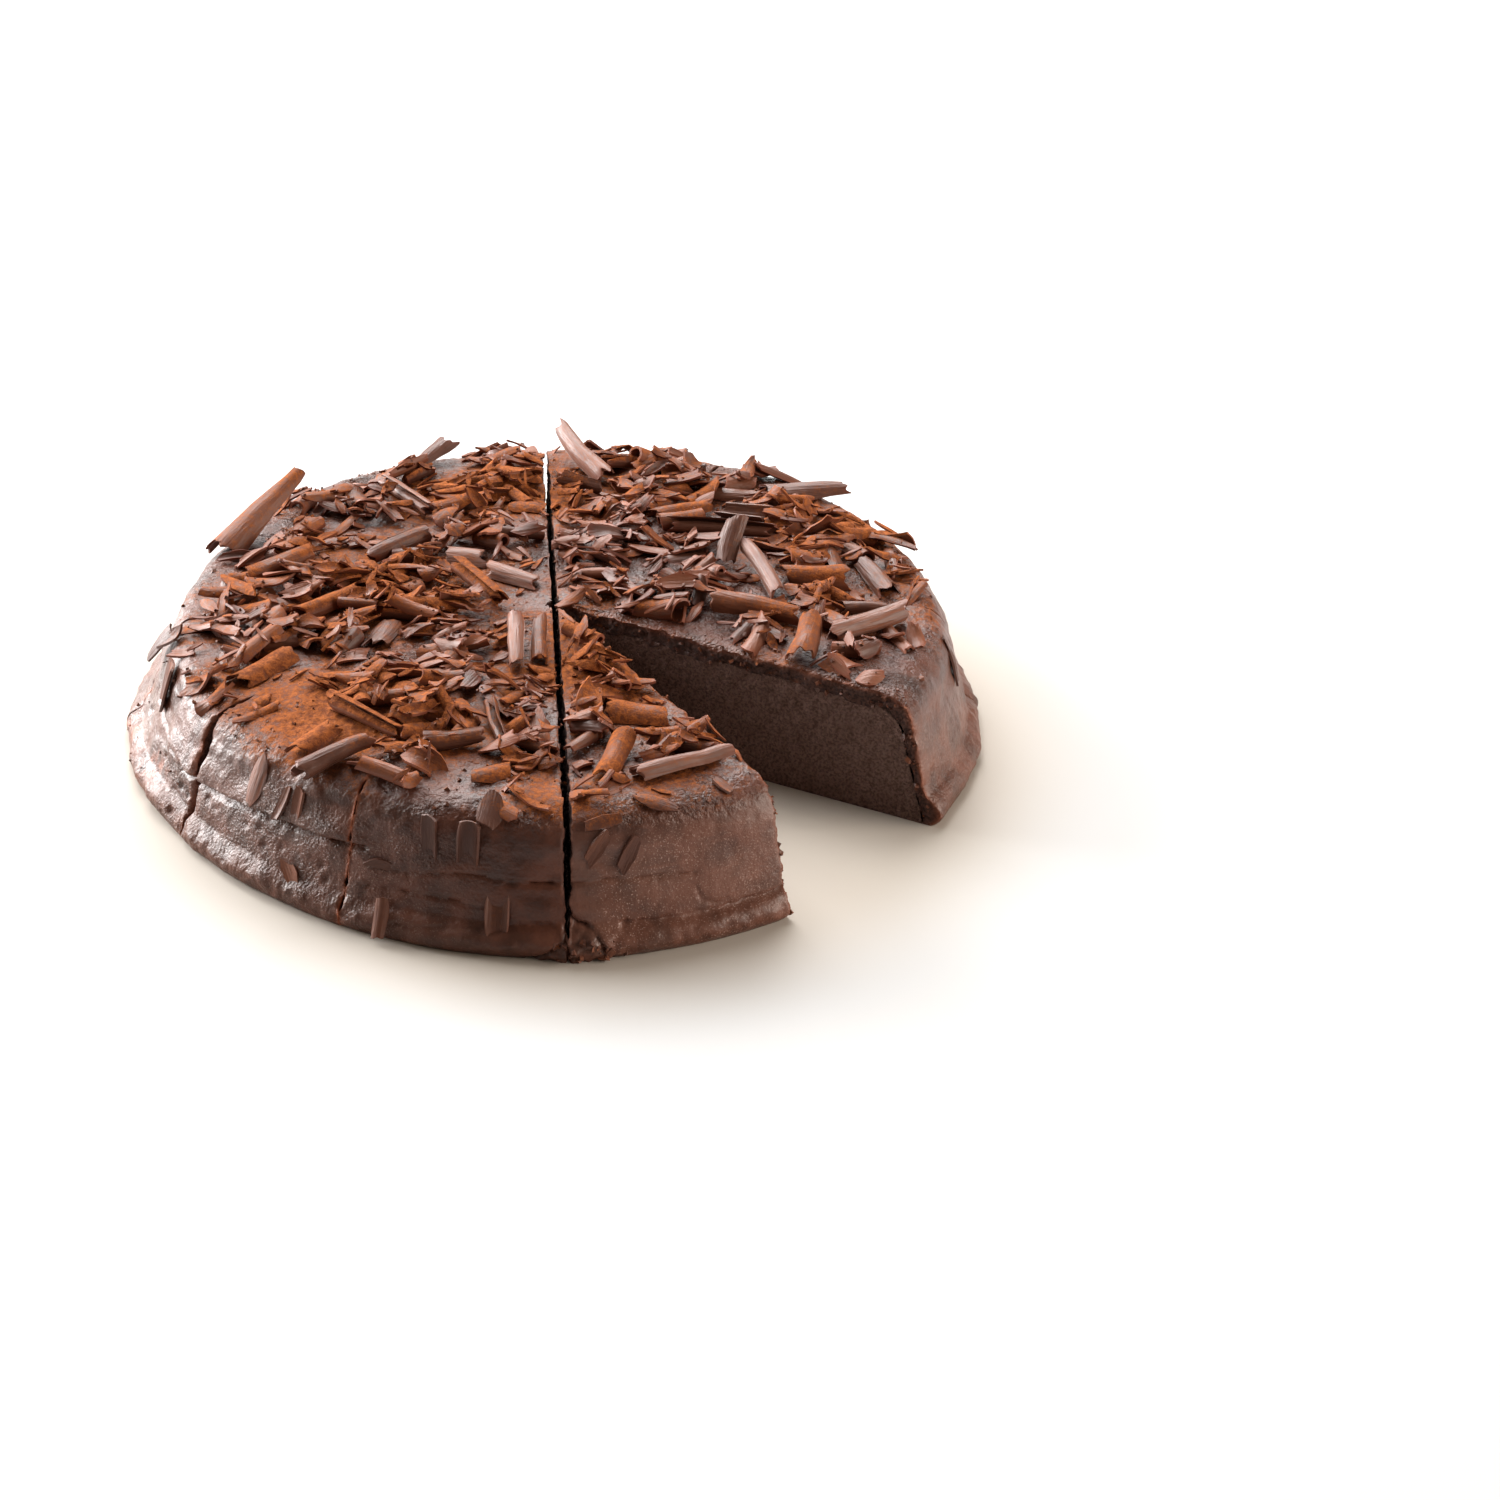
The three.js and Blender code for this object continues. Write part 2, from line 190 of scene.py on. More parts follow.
def bearing_of(points):
    """The bearing of each point from +X, anticlockwise, in degrees."""
    return np.degrees(np.arctan2(points[:, 1], points[:, 0])) % 360


def off_bearing(bearings, towards):
    """How far bearings are off another one, from -180 to 180 degrees."""
    return (bearings - towards + 180) % 360 - 180


def away_from(points, bearing, out):
    """How far each point lies, seen from above, from the place at a bearing and a distance out."""
    angle = math.radians(bearing)
    return np.hypot(points[..., 0] - out * math.cos(angle), points[..., 1] - out * math.sin(angle))


# %% [markdown]
# Materials here are sums, products and blends of a few patterns. Wiring them node by node hides that, so a
# small class wraps a socket and lets plain arithmetic add the Math nodes.

# %% Shader values that can be added and multiplied
def join(tree, value, entry):
    """Links a shader value to a socket, or sets a plain number or colour on it."""
    if isinstance(value, Wire):
        tree.links.new(value.socket, entry)
    else:
        entry.default_value = value


class Wire:
    """A value in a material's node tree. Arithmetic on it adds Math nodes."""

    def __init__(self, tree, socket):
        self.tree = tree
        self.socket = socket

    def maths(self, operation, *values):
        node = self.tree.nodes.new("ShaderNodeMath")
        node.operation = operation
        for value, entry in zip(values, node.inputs):
            join(self.tree, value, entry)
        return Wire(self.tree, node.outputs[0])

    def __add__(self, other):
        return self.maths("ADD", self, other)

    def __radd__(self, other):
        return self.maths("ADD", other, self)

    def __sub__(self, other):
        return self.maths("SUBTRACT", self, other)

    def __mul__(self, other):
        return self.maths("MULTIPLY", self, other)


# %% [markdown]
# A finish is one material under construction. Its node method adds any node; noise, blend and between are
# the three that every finish uses. Colours are written as they look on a screen and turned linear.

# %% The maker of finishes
def colour(red, green, blue):
    """A screen colour, from 0 to 255, as the linear colour that a shader takes."""
    parts = np.array([red, green, blue]) / 255
    linear = np.where(parts <= 0.04045, parts / 12.92, ((parts + 0.055) / 1.055) ** 2.4)
    return (*linear.tolist(), 1.0)


class Finish:
    """A material whose node tree is written as Python expressions."""

    def __init__(self, name):
        self.material = bpy.data.materials.new(name)
        self.material.use_nodes = True
        self.tree = self.material.node_tree
        self.shader = self.tree.nodes["Principled BSDF"]
        self.where = self.node("ShaderNodeTexCoord", {}, {}, "Object")

    def node(self, kind, settings, sockets, output=0):
        made = self.tree.nodes.new(kind)
        for name, value in settings.items():
            setattr(made, name, value)
        for name, value in sockets.items():
            join(self.tree, value, made.inputs[name])
        return Wire(self.tree, made.outputs[output])

    def set(self, shader=None, **sockets):
        """Sets sockets of a shader, of the first one if none is named."""
        entries = (shader or self.shader).inputs
        for name, value in sockets.items():
            join(self.tree, value, entries[name.replace("_", " ").title().replace("Ior", "IOR")])

    def cover(self, share, **sockets):
        """Lays a second shader over the first, as much of it as the share says."""
        over = self.tree.nodes.new("ShaderNodeBsdfPrincipled")
        self.set(over, **sockets)
        under = Wire(self.tree, self.shader.outputs[0])
        layers = {0: share, 1: under, 2: Wire(self.tree, over.outputs[0])}
        both = self.node("ShaderNodeMixShader", {}, layers)
        join(self.tree, both, self.tree.nodes["Material Output"].inputs["Surface"])

    def noise(self, size, detail=2.0, where=None, stretch=(1, 1, 1)):
        """A noise pattern of the given size, drawn out along the axes by stretch."""
        scale = [1 / part for part in stretch]
        drawn = self.node("ShaderNodeMapping", {}, {"Vector": where or self.where, "Scale": scale})
        return self.node("ShaderNodeTexNoise", {}, {"Vector": drawn, "Scale": 1 / size, "Detail": detail})

    def between(self, value, low, high):
        """0 below low, 1 above high, and a smooth rise between them."""
        settings = {"interpolation_type": "SMOOTHSTEP"}
        return self.node("ShaderNodeMapRange", settings, {"Value": value, "From Min": low, "From Max": high})

    def blend(self, share, first, second):
        """The first colour, turning into the second as the share goes from 0 to 1."""
        return self.node("ShaderNodeMix", {"data_type": "RGBA"}, {0: share, 6: first, 7: second}, 2)

    def mark(self, name):
        """A number stored at the points of the mesh."""
        return self.node("ShaderNodeAttribute", {"attribute_name": name}, {}, "Fac")

    def upward(self):
        """How far the surface faces up, from -1 to 1."""
        normal = self.node("ShaderNodeNewGeometry", {}, {}, "Normal")
        return self.node("ShaderNodeSeparateXYZ", {}, {"Vector": normal}, "Z")

    def bump(self, height, depth):
        """A shading normal from a height pattern of the given depth."""
        sockets = {"Strength": 1.0, "Distance": depth, "Height": height}
        return self.node("ShaderNodeBump", {}, sockets, "Normal")


# %% [markdown]
# Cocoa is sifted over the cake last. It lies in drifts, and thickest in a few places. How much fell on a
# point is worked out here and stored with the mesh, so that icing and shavings share the same drifts. The
# material then keeps it on what faces up. Powder has no gloss, so it is a second shader over the first.

# %% Cocoa dust
LIGHT_COCOA = colour(140, 79, 41)
DARK_COCOA = colour(92, 50, 31)
GRAIN_SIZE = 0.5 * MM
CLUMP_SIZE = 1.8 * MM
DUSTY_WITHIN = 109 * MM
DUST_FADE = 8 * MM
MEAN_DUST = 0.36
# Drifts: how much more or less lies there, their size in millimetres, and the seed of their noise.
DRIFTS = [(0.3, 30, 40), (0.22, 8, 41)]
# Where more cocoa fell, or less: bearing, distance out, size and how much more.
DUSTY_SPOTS = [
    (331, 46, 20, -0.6),
    (48, 62, 40, -0.22),
    (336, 101, 18, -0.4),
    (220, 94, 26, 0.5),
    (268, 99, 16, 0.5),
    (26, 103, 22, 0.5),
    (173, 36, 30, 0.3),
    (286, 45, 22, 0.4),
    (95, 70, 24, 0.3),
    (250, 84, 18, 0.25),
]


def dust_on(points):
    """How much cocoa fell on each point, from 0 to about 1."""
    amount = MEAN_DUST
    for more, size, seed in DRIFTS:
        amount = amount + more * noise(points * (1, 1, 0), size * MM, seed)
    for bearing, out, size, more in DUSTY_SPOTS:
        amount += more * hump(away_from(points, bearing, out * MM), size * MM)
    out = np.hypot(points[:, 0], points[:, 1])
    return amount * (1 - ease(out, DUSTY_WITHIN, DUSTY_WITHIN + DUST_FADE))


def powder(finish):
    """Lays the cocoa that fell on a surface over its own finish."""
    grain = finish.noise(GRAIN_SIZE)
    clump = finish.noise(CLUMP_SIZE, 3.0)
    lying = finish.between(finish.upward(), 0.05, 0.6)
    fallen = finish.mark("dust") + (clump - 0.5) * 0.7 + (grain - 0.5) * 0.45
    share = lying * finish.between(fallen, 0.2, 0.85)
    tint = finish.between(clump * 0.6 + grain * 0.4, 0.36, 0.64)
    finish.cover(
        share * 0.95,
        base_color=finish.blend(tint, DARK_COCOA, LIGHT_COCOA),
        roughness=1.0,
        specular_ior_level=0.03,
        normal=finish.bump(clump + grain * 0.4, 0.5 * MM),
    )


# %% [markdown]
# The icing is a dark fudge: brown, slightly mottled, with a soft gloss where the knife has smoothed it. It
# is wrinkled like leather on top and grainy on the rough side, which breaks the gloss up into small lights.
# Its side is painted paler where the lamps fall on it, and pale flecks on it are painted glints. Where a cut
# tears it, it is dull and dark, and the edge of a cut is painted lighter, for the light that it catches.

# %% Finish of the icing
TORN_ICING = (colour(44, 28, 24), colour(82, 56, 48))


def icing_finish():
    finish = Finish("fudge_icing")
    mottle = finish.noise(9 * MM, 4.0)
    wrinkles = finish.noise(1.5 * MM, 5.0)
    grains = finish.noise(0.9 * MM, 4.0)
    strokes = finish.noise(2 * MM, 3.0, stretch=(4, 4, 1))
    glint_specks = finish.between(finish.noise(0.45 * MM, 1.0), 0.58, 0.74)
    torn = finish.mark("torn")
    body = finish.blend(finish.between(mottle, 0.35, 0.65), colour(54, 27, 17), colour(82, 45, 31))
    body = finish.blend(finish.between(strokes, 0.52, 0.78) * 0.3, body, colour(110, 66, 50))
    # Painted light: the side is paler where the lamps fall on it, and the lip a little paler all round.
    body = finish.blend(finish.mark("pale"), body, colour(142, 104, 90))
    # Painted glints: pale flecks stand in for small lights on the side, most of all on the smooth front
    # right.
    body = finish.blend(glint_specks * finish.mark("specked"), body, colour(176, 146, 134))
    body = finish.blend(torn, body, finish.blend(finish.between(grains, 0.35, 0.65), *TORN_ICING))
    # Painted light: the edges of cuts are orange-brown as if they caught the lamps, and some patches of the
    # side are lighter.
    body = finish.blend(finish.mark("lighter_edges_and_patches"), body, colour(156, 84, 50))
    wrinkled = finish.mark("wrinkled")
    grainy = finish.mark("grainy")
    glazed = finish.mark("glazed")
    relief = wrinkles * (wrinkled * 2.1 + 0.1) + strokes * 0.12 + grains * (grainy + torn * 0.4)
    dull = 0.38 + finish.between(mottle, 0.3, 0.7) * 0.1 + torn * 0.5
    finish.set(
        base_color=body,
        roughness=dull - grainy * 0.1 - wrinkled * 0.12 - glazed * 0.2,
        specular_ior_level=0.3,
        coat_weight=glazed,
        coat_roughness=0.36,
        normal=finish.bump(relief, 0.8 * MM),
    )
    powder(finish)
    return finish.material


# %% [markdown]
# The sponge is an open crumb, darker in its pores than on its grains, with no gloss at all.

# %% Finish of the sponge
def sponge_finish():
    finish = Finish("chocolate_sponge")
    pores = finish.noise(0.8 * MM, 5.0)
    grains = finish.noise(0.4 * MM, 3.0)
    patches = finish.noise(14 * MM, 2.0)
    body = finish.blend(finish.between(pores, 0.34, 0.62), colour(90, 69, 62), colour(122, 97, 88))
    body = finish.blend(finish.between(grains, 0.6, 0.78) * 0.6, body, colour(150, 116, 100))
    body = finish.blend(finish.between(patches, 0.5, 0.7) * 0.3, body, colour(84, 62, 54))
    finish.set(
        base_color=body,
        roughness=0.95,
        specular_ior_level=0.15,
        normal=finish.bump(pores + grains * 0.5, 0.9 * MM),
    )
    return finish.material


# %% [markdown]
# Shaved chocolate is satin, with fine lines along the way the blade went, and it differs from flake to
# flake: some dark, some milky, and the palest with a painted sheen for the light they reflect. The lines
# follow each flake's own length, so they are drawn in coordinates stored with the mesh. Thin edges are
# painted redder, for the light that comes through them.

# %% Finish of the shavings
def shaving_finish():
    finish = Finish("shaved_chocolate")
    tone = finish.mark("tone")
    along = finish.node("ShaderNodeAttribute", {"attribute_name": "grain"}, {}, "Vector")
    lines = finish.noise(0.7 * MM, 2.0, where=along, stretch=(14, 1, 1))
    mottle = finish.noise(3 * MM, 3.0)
    milky = finish.between(tone + mottle * 0.3, 0.25, 0.9)
    # Painted sheen: the palest flakes turn grey-pink in streaks, for the light that they reflect.
    painted_sheen = finish.between(tone + lines - 0.5, 0.85, 1.25)
    body = finish.blend(milky, colour(74, 45, 35), colour(112, 68, 49))
    body = finish.blend(painted_sheen, body, colour(106, 80, 72))
    # Painted light: rims are redder, for light coming through the thin edges.
    body = finish.blend(finish.mark("edge") * 0.3, body, colour(118, 50, 28))
    finish.set(
        base_color=body,
        roughness=0.34 + mottle * 0.2,
        specular_ior_level=0.24,
        normal=finish.bump(lines + mottle * 0.5, 0.3 * MM),
    )
    powder(finish)
    return finish.material


ICING = icing_finish()
SPONGE = sponge_finish()
CHOCOLATE = shaving_finish()


def dress(piece, finish, slot, *nodes):
    """Gives a piece its finish, hangs it on the root of the frame, and hides the solids that it stands for.
    """
    piece.data.materials.clear()
    piece.data.materials.append(finish)
    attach(piece, "root")
    if nodes:
        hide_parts(*nodes)


print("finishes:", [finish.name for finish in (ICING, SPONGE, CHOCOLATE)])

# %% [markdown]
# The cake is a solid of revolution, so its shape is one line: from the foot of the lip, up the leaning
# side, round the shoulder and in to the middle of the top. The sponge has such a line of its own inside.

# %% Lines of the cross-section
def arc(start, pull, end, steps=24):
    """Points on a smooth curve from start to end, drawn towards pull."""
    share = np.linspace(0, 1, steps + 1)[:, None]
    start, pull, end = np.array(start), np.array(pull), np.array(end)
    return (1 - share) ** 2 * start + 2 * share * (1 - share) * pull + share**2 * end


def evenly(line, count):
    """The same line as count points at equal distances."""
    run = np.concatenate([[0], np.cumsum(np.linalg.norm(np.diff(line, axis=0), axis=1))])
    at = np.linspace(0, run[-1], count)
    return np.stack([np.interp(at, run, line[:, side]) for side in range(2)], axis=1)


def icing_line():
    """Half the outside of the iced cake, as distance from the axis and height."""
    neck = (RADIUS - LIP_INSET, LIP_HEIGHT)
    wall_top = (RADIUS - WALL_TOP_INSET, WALL_TOP)
    shoulder = (RADIUS - SHOULDER_INSET, HEIGHT - SHOULDER_DROP)
    lip = arc((RADIUS - BASE_INSET, 0), (RADIUS + BASE_INSET, LIP_HEIGHT / 2), neck)
    edge = arc(wall_top, (wall_top[0] - BASE_INSET, shoulder[1]), shoulder)
    top = arc(shoulder, (shoulder[0] / 2, HEIGHT), (0, HEIGHT))
    return np.concatenate([lip, edge, top[1:]])


def sponge_line(grow):
    """Half the outside of the sponge, grown by a little where the icing needs room."""
    base = RADIUS - LIP_INSET - ICING_SIDE / 2 + grow
    wall_top = (RADIUS - WALL_TOP_INSET - ICING_SIDE + grow, WALL_TOP - ICING_TOP / 2)
    level = HEIGHT - SHOULDER_DROP - ICING_TOP + grow
    shoulder = (RADIUS - SHOULDER_INSET - ICING_SIDE, level)
    edge = arc(wall_top, (wall_top[0] - BASE_INSET, level), shoulder)
    top = arc(shoulder, (shoulder[0] / 2, level + SHOULDER_DROP), (0, level + SHOULDER_DROP))
    return np.concatenate([[(base, 0)], edge, top[1:]])


# %% [markdown]
# One portion is modelled as by hand: a flat grid is bent into the cross-section between two lines, and
# spun through a twelfth of a turn. Every other portion is a copy of it, moved round. A number stored at each
# point says how deep it lies under the skin, so that later steps can work the skin alone.

# %% Spin a portion
SAME_POINT = 0.001 * MM


def spun_portion(outside, inside, layers, turns):
    """A portion between two lines of the cross-section, spun about the cake's axis."""
    bpy.ops.object.select_all(action="DESELECT")
    cells = len(outside) - 1
    bpy.ops.mesh.primitive_grid_add(x_subdivisions=cells, y_subdivisions=layers, size=2)
    piece = bpy.context.object
    flat = (points_of(piece) + 1) / 2
    place = np.rint(flat[:, 0] * cells).astype(int)
    depth = flat[:, 1]
    line = outside[place] * (1 - depth)[:, None] + inside[place] * depth[:, None]
    move_points(piece, np.stack([line[:, 0], np.zeros(len(line)), line[:, 1]], axis=1))
    mark(piece, "depth", depth)
    with editing():
        bpy.ops.mesh.spin(steps=turns, angle=STEP, center=(0, 0, 0), axis=(0, 0, 1))
    with editing():
        bpy.ops.mesh.remove_doubles(threshold=SAME_POINT)
        bpy.ops.mesh.normals_make_consistent(inside=False)
    return piece


# The side, which lies open, gets finer points than the top, which is strewn.
SIDE_CELL = 0.65 * MM
TOP_CELL = 1.1 * MM


def skin_line(line, top_from, counts):
    """The points of a line: so many on the side, and so many on the top, which starts at a distance out."""
    side = line[:, 0] >= top_from
    return np.concatenate([evenly(part, count) for part, count in zip((line[side], line[~side]), counts)])


shoulder_out = RADIUS - SHOULDER_INSET
outside = icing_line()
side_run = np.linalg.norm(np.diff(outside[outside[:, 0] >= shoulder_out], axis=0), axis=1).sum()
counts = (int(side_run / SIDE_CELL), int(shoulder_out / TOP_CELL))
first_coat = spun_portion(
    skin_line(outside, shoulder_out, counts),
    skin_line(sponge_line(FIT_GAP), shoulder_out - ICING_SIDE, counts),
    4,
    int(RADIUS * STEP / SIDE_CELL),
)
print("one coat of icing:", len(first_coat.data.polygons), "faces")

# %% [markdown]
# The knife leaves each portion a little narrower than a twelfth. Its two cut faces are set back by half the
# width of their cuts, and its tip stands off the axis. Soft cake sags, so the faces close in again at the
# foot of a cut, and on the top the icing was smeared over all cuts but two. Then the whole settles, as the
# solids do: the rim swells a little out of round and slumps in places, and the top waves.

# %% Seat and settle the portions
SAGGING_BELOW = 10 * MM
SAG_SHARE = 0.95
CLOSED_SHARE = 0.75
SMEAR_SHARE = 0.99
SMEARED_INSIDE = 98 * MM
SMEAR_FADE = 5 * MM
OPEN_SIDES = (GAP_PORTION, GAP_PORTION + 1)
OPEN_CUTS = (3, 9, *OPEN_SIDES)
CLOSED_CUTS = [cut for cut in range(PORTIONS) if cut not in WIDE_CUTS and cut not in OPEN_SIDES]
FAR = 10 * MM
# A point nearer to a cut than this is on its face, and a point less deep than this is skin.
ON_CUT = 0.01 * MM
SKIN_DEPTH = 0.01


def seat(points, number):
    """Moves the points of the first portion to their place, and measures how far each is from an open cut."""
    cuts = [number, (number + 1) % PORTIONS]
    back = [WIDE_CUTS.get(cut, KNIFE_CUT) / 2 for cut in cuts]
    tip = math.hypot((back[1] + back[0] * math.cos(STEP)) / math.sin(STEP), back[0])
    share = np.abs(np.arctan2(points[:, 1], points[:, 0])) / STEP
    out = tip + np.hypot(points[:, 0], points[:, 1]) * (1 - tip / RADIUS)
    sag = SAG_SHARE * (1 - ease(points[:, 2], 0.6 * SAGGING_BELOW, SAGGING_BELOW))
    smear = SMEAR_SHARE * (1 - ease(out, SMEARED_INSIDE, SMEARED_INSIDE + SMEAR_FADE))
    smeared = [smear * (cut not in OPEN_CUTS) for cut in cuts]
    sunk = [np.maximum(sag * (cut not in OPEN_SIDES), CLOSED_SHARE * (cut in CLOSED_CUTS)) for cut in cuts]
    closed = [np.maximum(low, over) for low, over in zip(sunk, smeared)]
    back = [width * (1 - part) for width, part in zip(back, closed)]
    start = np.arcsin(np.minimum(1, back[0] / out))
    end = STEP - np.arcsin(np.minimum(1, back[1] / out))
    turn = start + share * (end - start)
    bearing = number * STEP + turn
    placed = np.stack([out * np.cos(bearing), out * np.sin(bearing), points[:, 2]], axis=1)
    to_first = out * np.sin(turn) - back[0] + FAR * smeared[0]
    to_last = out * np.sin(STEP - turn) - back[1] + FAR * smeared[1]
    return placed, np.maximum(0, np.minimum(to_first, to_last))


def settle(points):
    """Nothing baked is quite round or level."""
    x, y, z = points.T
    bearing = np.arctan2(x, -y)
    swell = RIM_SWELL * (OVAL_SHARE * np.cos(2 * bearing) + np.cos(4 * bearing))
    wave = np.sin(x / WAVE_LENGTH + WAVE_START[0]) * np.cos(y / WAVE_LENGTH + WAVE_START[1])
    grow = 1 + swell / RADIUS
    height = z + TOP_WAVE * wave * z / HEIGHT
    rim = (np.hypot(x, y) / RADIUS) ** SLUMP_POWER * z / HEIGHT
    for towards, spread, sunk, drawn in SLUMPS:
        share = hump(off_bearing(bearing_of(points), towards), spread) * rim
        grow = grow - drawn * share / RADIUS
        height = height - sunk * share
    return np.stack([x * grow, y * grow, height], axis=1)


def portion_copy(first, name, number):
    """A copy of the first portion in its own place, with the distance of each point from a cut."""
    piece = new_piece(name, first.data.copy())
    placed, to_cut = seat(points_of(piece), number)
    move_points(piece, settle(placed))
    only(piece)
    with editing():
        bpy.ops.mesh.normals_make_consistent(inside=False)
    return piece, to_cut


# %% [markdown]
# Icing shows how it was spread. The lip round the base is lumpy, the left side steps out in a ledge, and
# creases and cracks run through the side. These are moves of the skin's points, worked out from where each
# point is. A crease or crack follows a path drawn on the unrolled side.

# %% Work the icing
# Furrows in the side: width, depth and path, as bearings in degrees and heights in millimetres.
FURROWS = [
    (0.45, 0.8, [(262, 19.6), (270, 20.1), (275, 20.9), (282, 20.3), (287, 19.6)]),
    (0.45, 0.6, [(244, 18.4), (250, 19.2), (256, 21.3), (268, 20.1)]),
    (0.6, 0.7, [(243, 5), (249, 5.4), (256, 7), (264, 8.6), (268, 9)]),
    (0.8, 1.3, [(277, 8.6), (286, 8.2), (294, 8.4), (300, 8.6)]),
    (0.45, 0.6, [(243, 13), (252, 14), (262, 12.4)]),
    (0.4, 0.6, [(287, 15.6), (287.6, 12), (289.5, 9.9), (292, 11)]),
    (0.6, 1.0, [(190, 22), (199, 20), (206, 19)]),
    (0.7, 1.2, [(206, 17.5), (212, 18.2), (222, 20.4), (229, 21.4), (238, 22), (242, 22.4)]),
    (1.3, 2.4, [(210.3, 36), (210.6, 28), (210, 19), (210, 9)]),
    (0.5, 1.8, [(270, 11), (269.6, 6.4), (270.2, 2.6), (270, 0)]),
    (0.5, 1.7, [(270, 12.5), (271.2, 9.7), (273, 8.3), (274, 5.7), (275.2, 0.6)]),
    (0.5, 1.4, [(269, 5.5), (267, 1.6), (265, 0)]),
    (0.6, 0.8, [(20, 18), (40, 19), (62, 18)]),
    (0.6, 0.7, [(128, 16), (150, 17), (166, 16)]),
]
LEDGE = [(203, 17.5), (212, 18.4), (222, 20.8), (229, 21.8), (238, 22.3), (244, 22.8)]
# How far the ledge steps out, how many degrees its ends take, and over what heights it rises and fades.
LEDGE_DEPTH = 1.3 * MM
LEDGE_ENDS = (6, 4)
LEDGE_RISE = 1.2 * MM
LEDGE_FADE = (2 * MM, 10 * MM)
# The icing bulges at the foot of the front cut, where it cracked: bearing, spread in degrees and depth.
CRACKED_BEARING = 271
CRACKED_SPREAD = 4.5
CRACKED_SWELL = 1.6 * MM
# Unevenness: depth and size in millimetres, and the seed of its noise.
LIP_LUMPS = [(1.0, 9, 1), (0.5, 2.6, 2)]
SIDE_SWELLS = [(0.6, 26, 7)]
SIDE_STROKES = [(0.2, 4.5, 8)]
CRACKED_LUMPS = [(1.1, 1.8, 6)]
FURROW_RAGS = [(0.35, 2.2, 9)]
STROKE_STRETCH = (0.25, 0.25, 1)
# How far the edge of a cut is worn off, how much further along the gap, and over what width.
WORN = 0.4 * MM
WORN_MORE = 1.3 * MM
WORN_WIDTH = 1.0 * MM


def uneven(points, rows):
    """How far each point is moved by unevenness of several depths and sizes."""
    return sum(deep * MM * noise(points, size * MM, seed) for deep, size, seed in rows)


def from_path(points, path):
    """How far each point of the side lies from a path of bearings and heights."""
    flat = np.stack([np.radians(bearing_of(points)) * RADIUS, points[:, 2]], axis=1)
    corners = np.array([(math.radians(bearing) * RADIUS, height * MM) for bearing, height in path])
    nearest = np.full(len(points), np.inf)
    for start, end in zip(corners[:-1], corners[1:]):
        along = end - start
        share = np.clip(((flat - start) @ along) / (along @ along), 0, 1)
        nearest = np.minimum(nearest, np.linalg.norm(flat - start - share[:, None] * along, axis=1))
    return nearest


def ledge_swell(bearing, height):
    """1 just above the ledge of the left side, fading upwards and at its two ends."""
    above = height - np.interp(bearing, *np.transpose(LEDGE)) * MM
    start, end = LEDGE[0][0], LEDGE[-1][0]
    ends = ease(bearing, start - LEDGE_ENDS[0], start) * (1 - ease(bearing, end - LEDGE_ENDS[1], end))
    return ends * ease(above, 0, LEDGE_RISE) * (1 - ease(above, *LEDGE_FADE))


def work_icing(points, depth, to_cut):
    """Swellings, strokes, furrows and a ledge in the side, a lumpy lip and worn cuts."""
    bearing = bearing_of(points)
    height = points[:, 2]
    top = ease(height, WALL_TOP, HEIGHT - 2 * SHOULDER_DROP)
    side = 1 - top
    outward = points / np.hypot(points[:, 0], points[:, 1])[:, None]
    outward[:, 2] = 0
    outward = outward * side[:, None]
    outward[:, 2] = top
    push = hump(height - LIP_HEIGHT / 2, LIP_HEIGHT / 3) * uneven(points, LIP_LUMPS)
    push += side * uneven(points, SIDE_SWELLS)
    push += side * uneven(points * STROKE_STRETCH, SIDE_STROKES)
    push += LEDGE_DEPTH * ledge_swell(bearing, height)
    foot = 1 - ease(height, 0.6 * LIP_HEIGHT, 1.2 * LIP_HEIGHT)
    broken = hump(bearing - CRACKED_BEARING, CRACKED_SPREAD) * foot
    push += broken * (CRACKED_SWELL + uneven(points, CRACKED_LUMPS))
    ragged = uneven(points, FURROW_RAGS)
    for wide, deep, path in FURROWS:
        push -= side * deep * MM * hump(from_path(points, path) + ragged, wide * MM)
    gap_off = np.abs(off_bearing(bearing, math.degrees((GAP_PORTION + 0.5) * STEP)))
    worn = WORN + WORN_MORE * (gap_off < 0.75 * math.degrees(STEP))
    push -= worn * np.exp(-to_cut / WORN_WIDTH) * (0.5 + 0.5 * noise(points, 2.4 * MM, 3))
    return points + outward * (push * (1 - depth))[:, None]


# %% [markdown]
# The rest of the relief is the same everywhere or in patches, which is what a Displace modifier is for: it
# pushes points along their normals by a texture, as far as a vertex group lets it. Clouds make lumps and
# dimples. Cells of a Voronoi texture, cut off by a ramp, make the small burst bubbles on the left side.

# %% Relief textures
def cloud(name, size, depth):
    texture = bpy.data.textures.new(name, "CLOUDS")
    texture.noise_scale = size
    texture.noise_depth = depth
    return texture


def bubbles(name, size):
    texture = bpy.data.textures.new(name, "VORONOI")
    texture.noise_scale = size
    texture.use_color_ramp = True
    ramp = texture.color_ramp.elements
    ramp[0].position, ramp[0].color = 0.06, (0, 0, 0, 1)
    ramp[1].position, ramp[1].color = 0.3, (1, 1, 1, 1)
    return texture


def group_points(piece, name, weights):
    """A vertex group with the given weights, in tenths."""
    group = piece.vertex_groups.new(name=name)
    tenths = np.rint(np.clip(weights, 0, 1) * 10).astype(int)
    for tenth in range(1, 11):
        group.add(np.flatnonzero(tenths == tenth).tolist(), tenth / 10, "REPLACE")


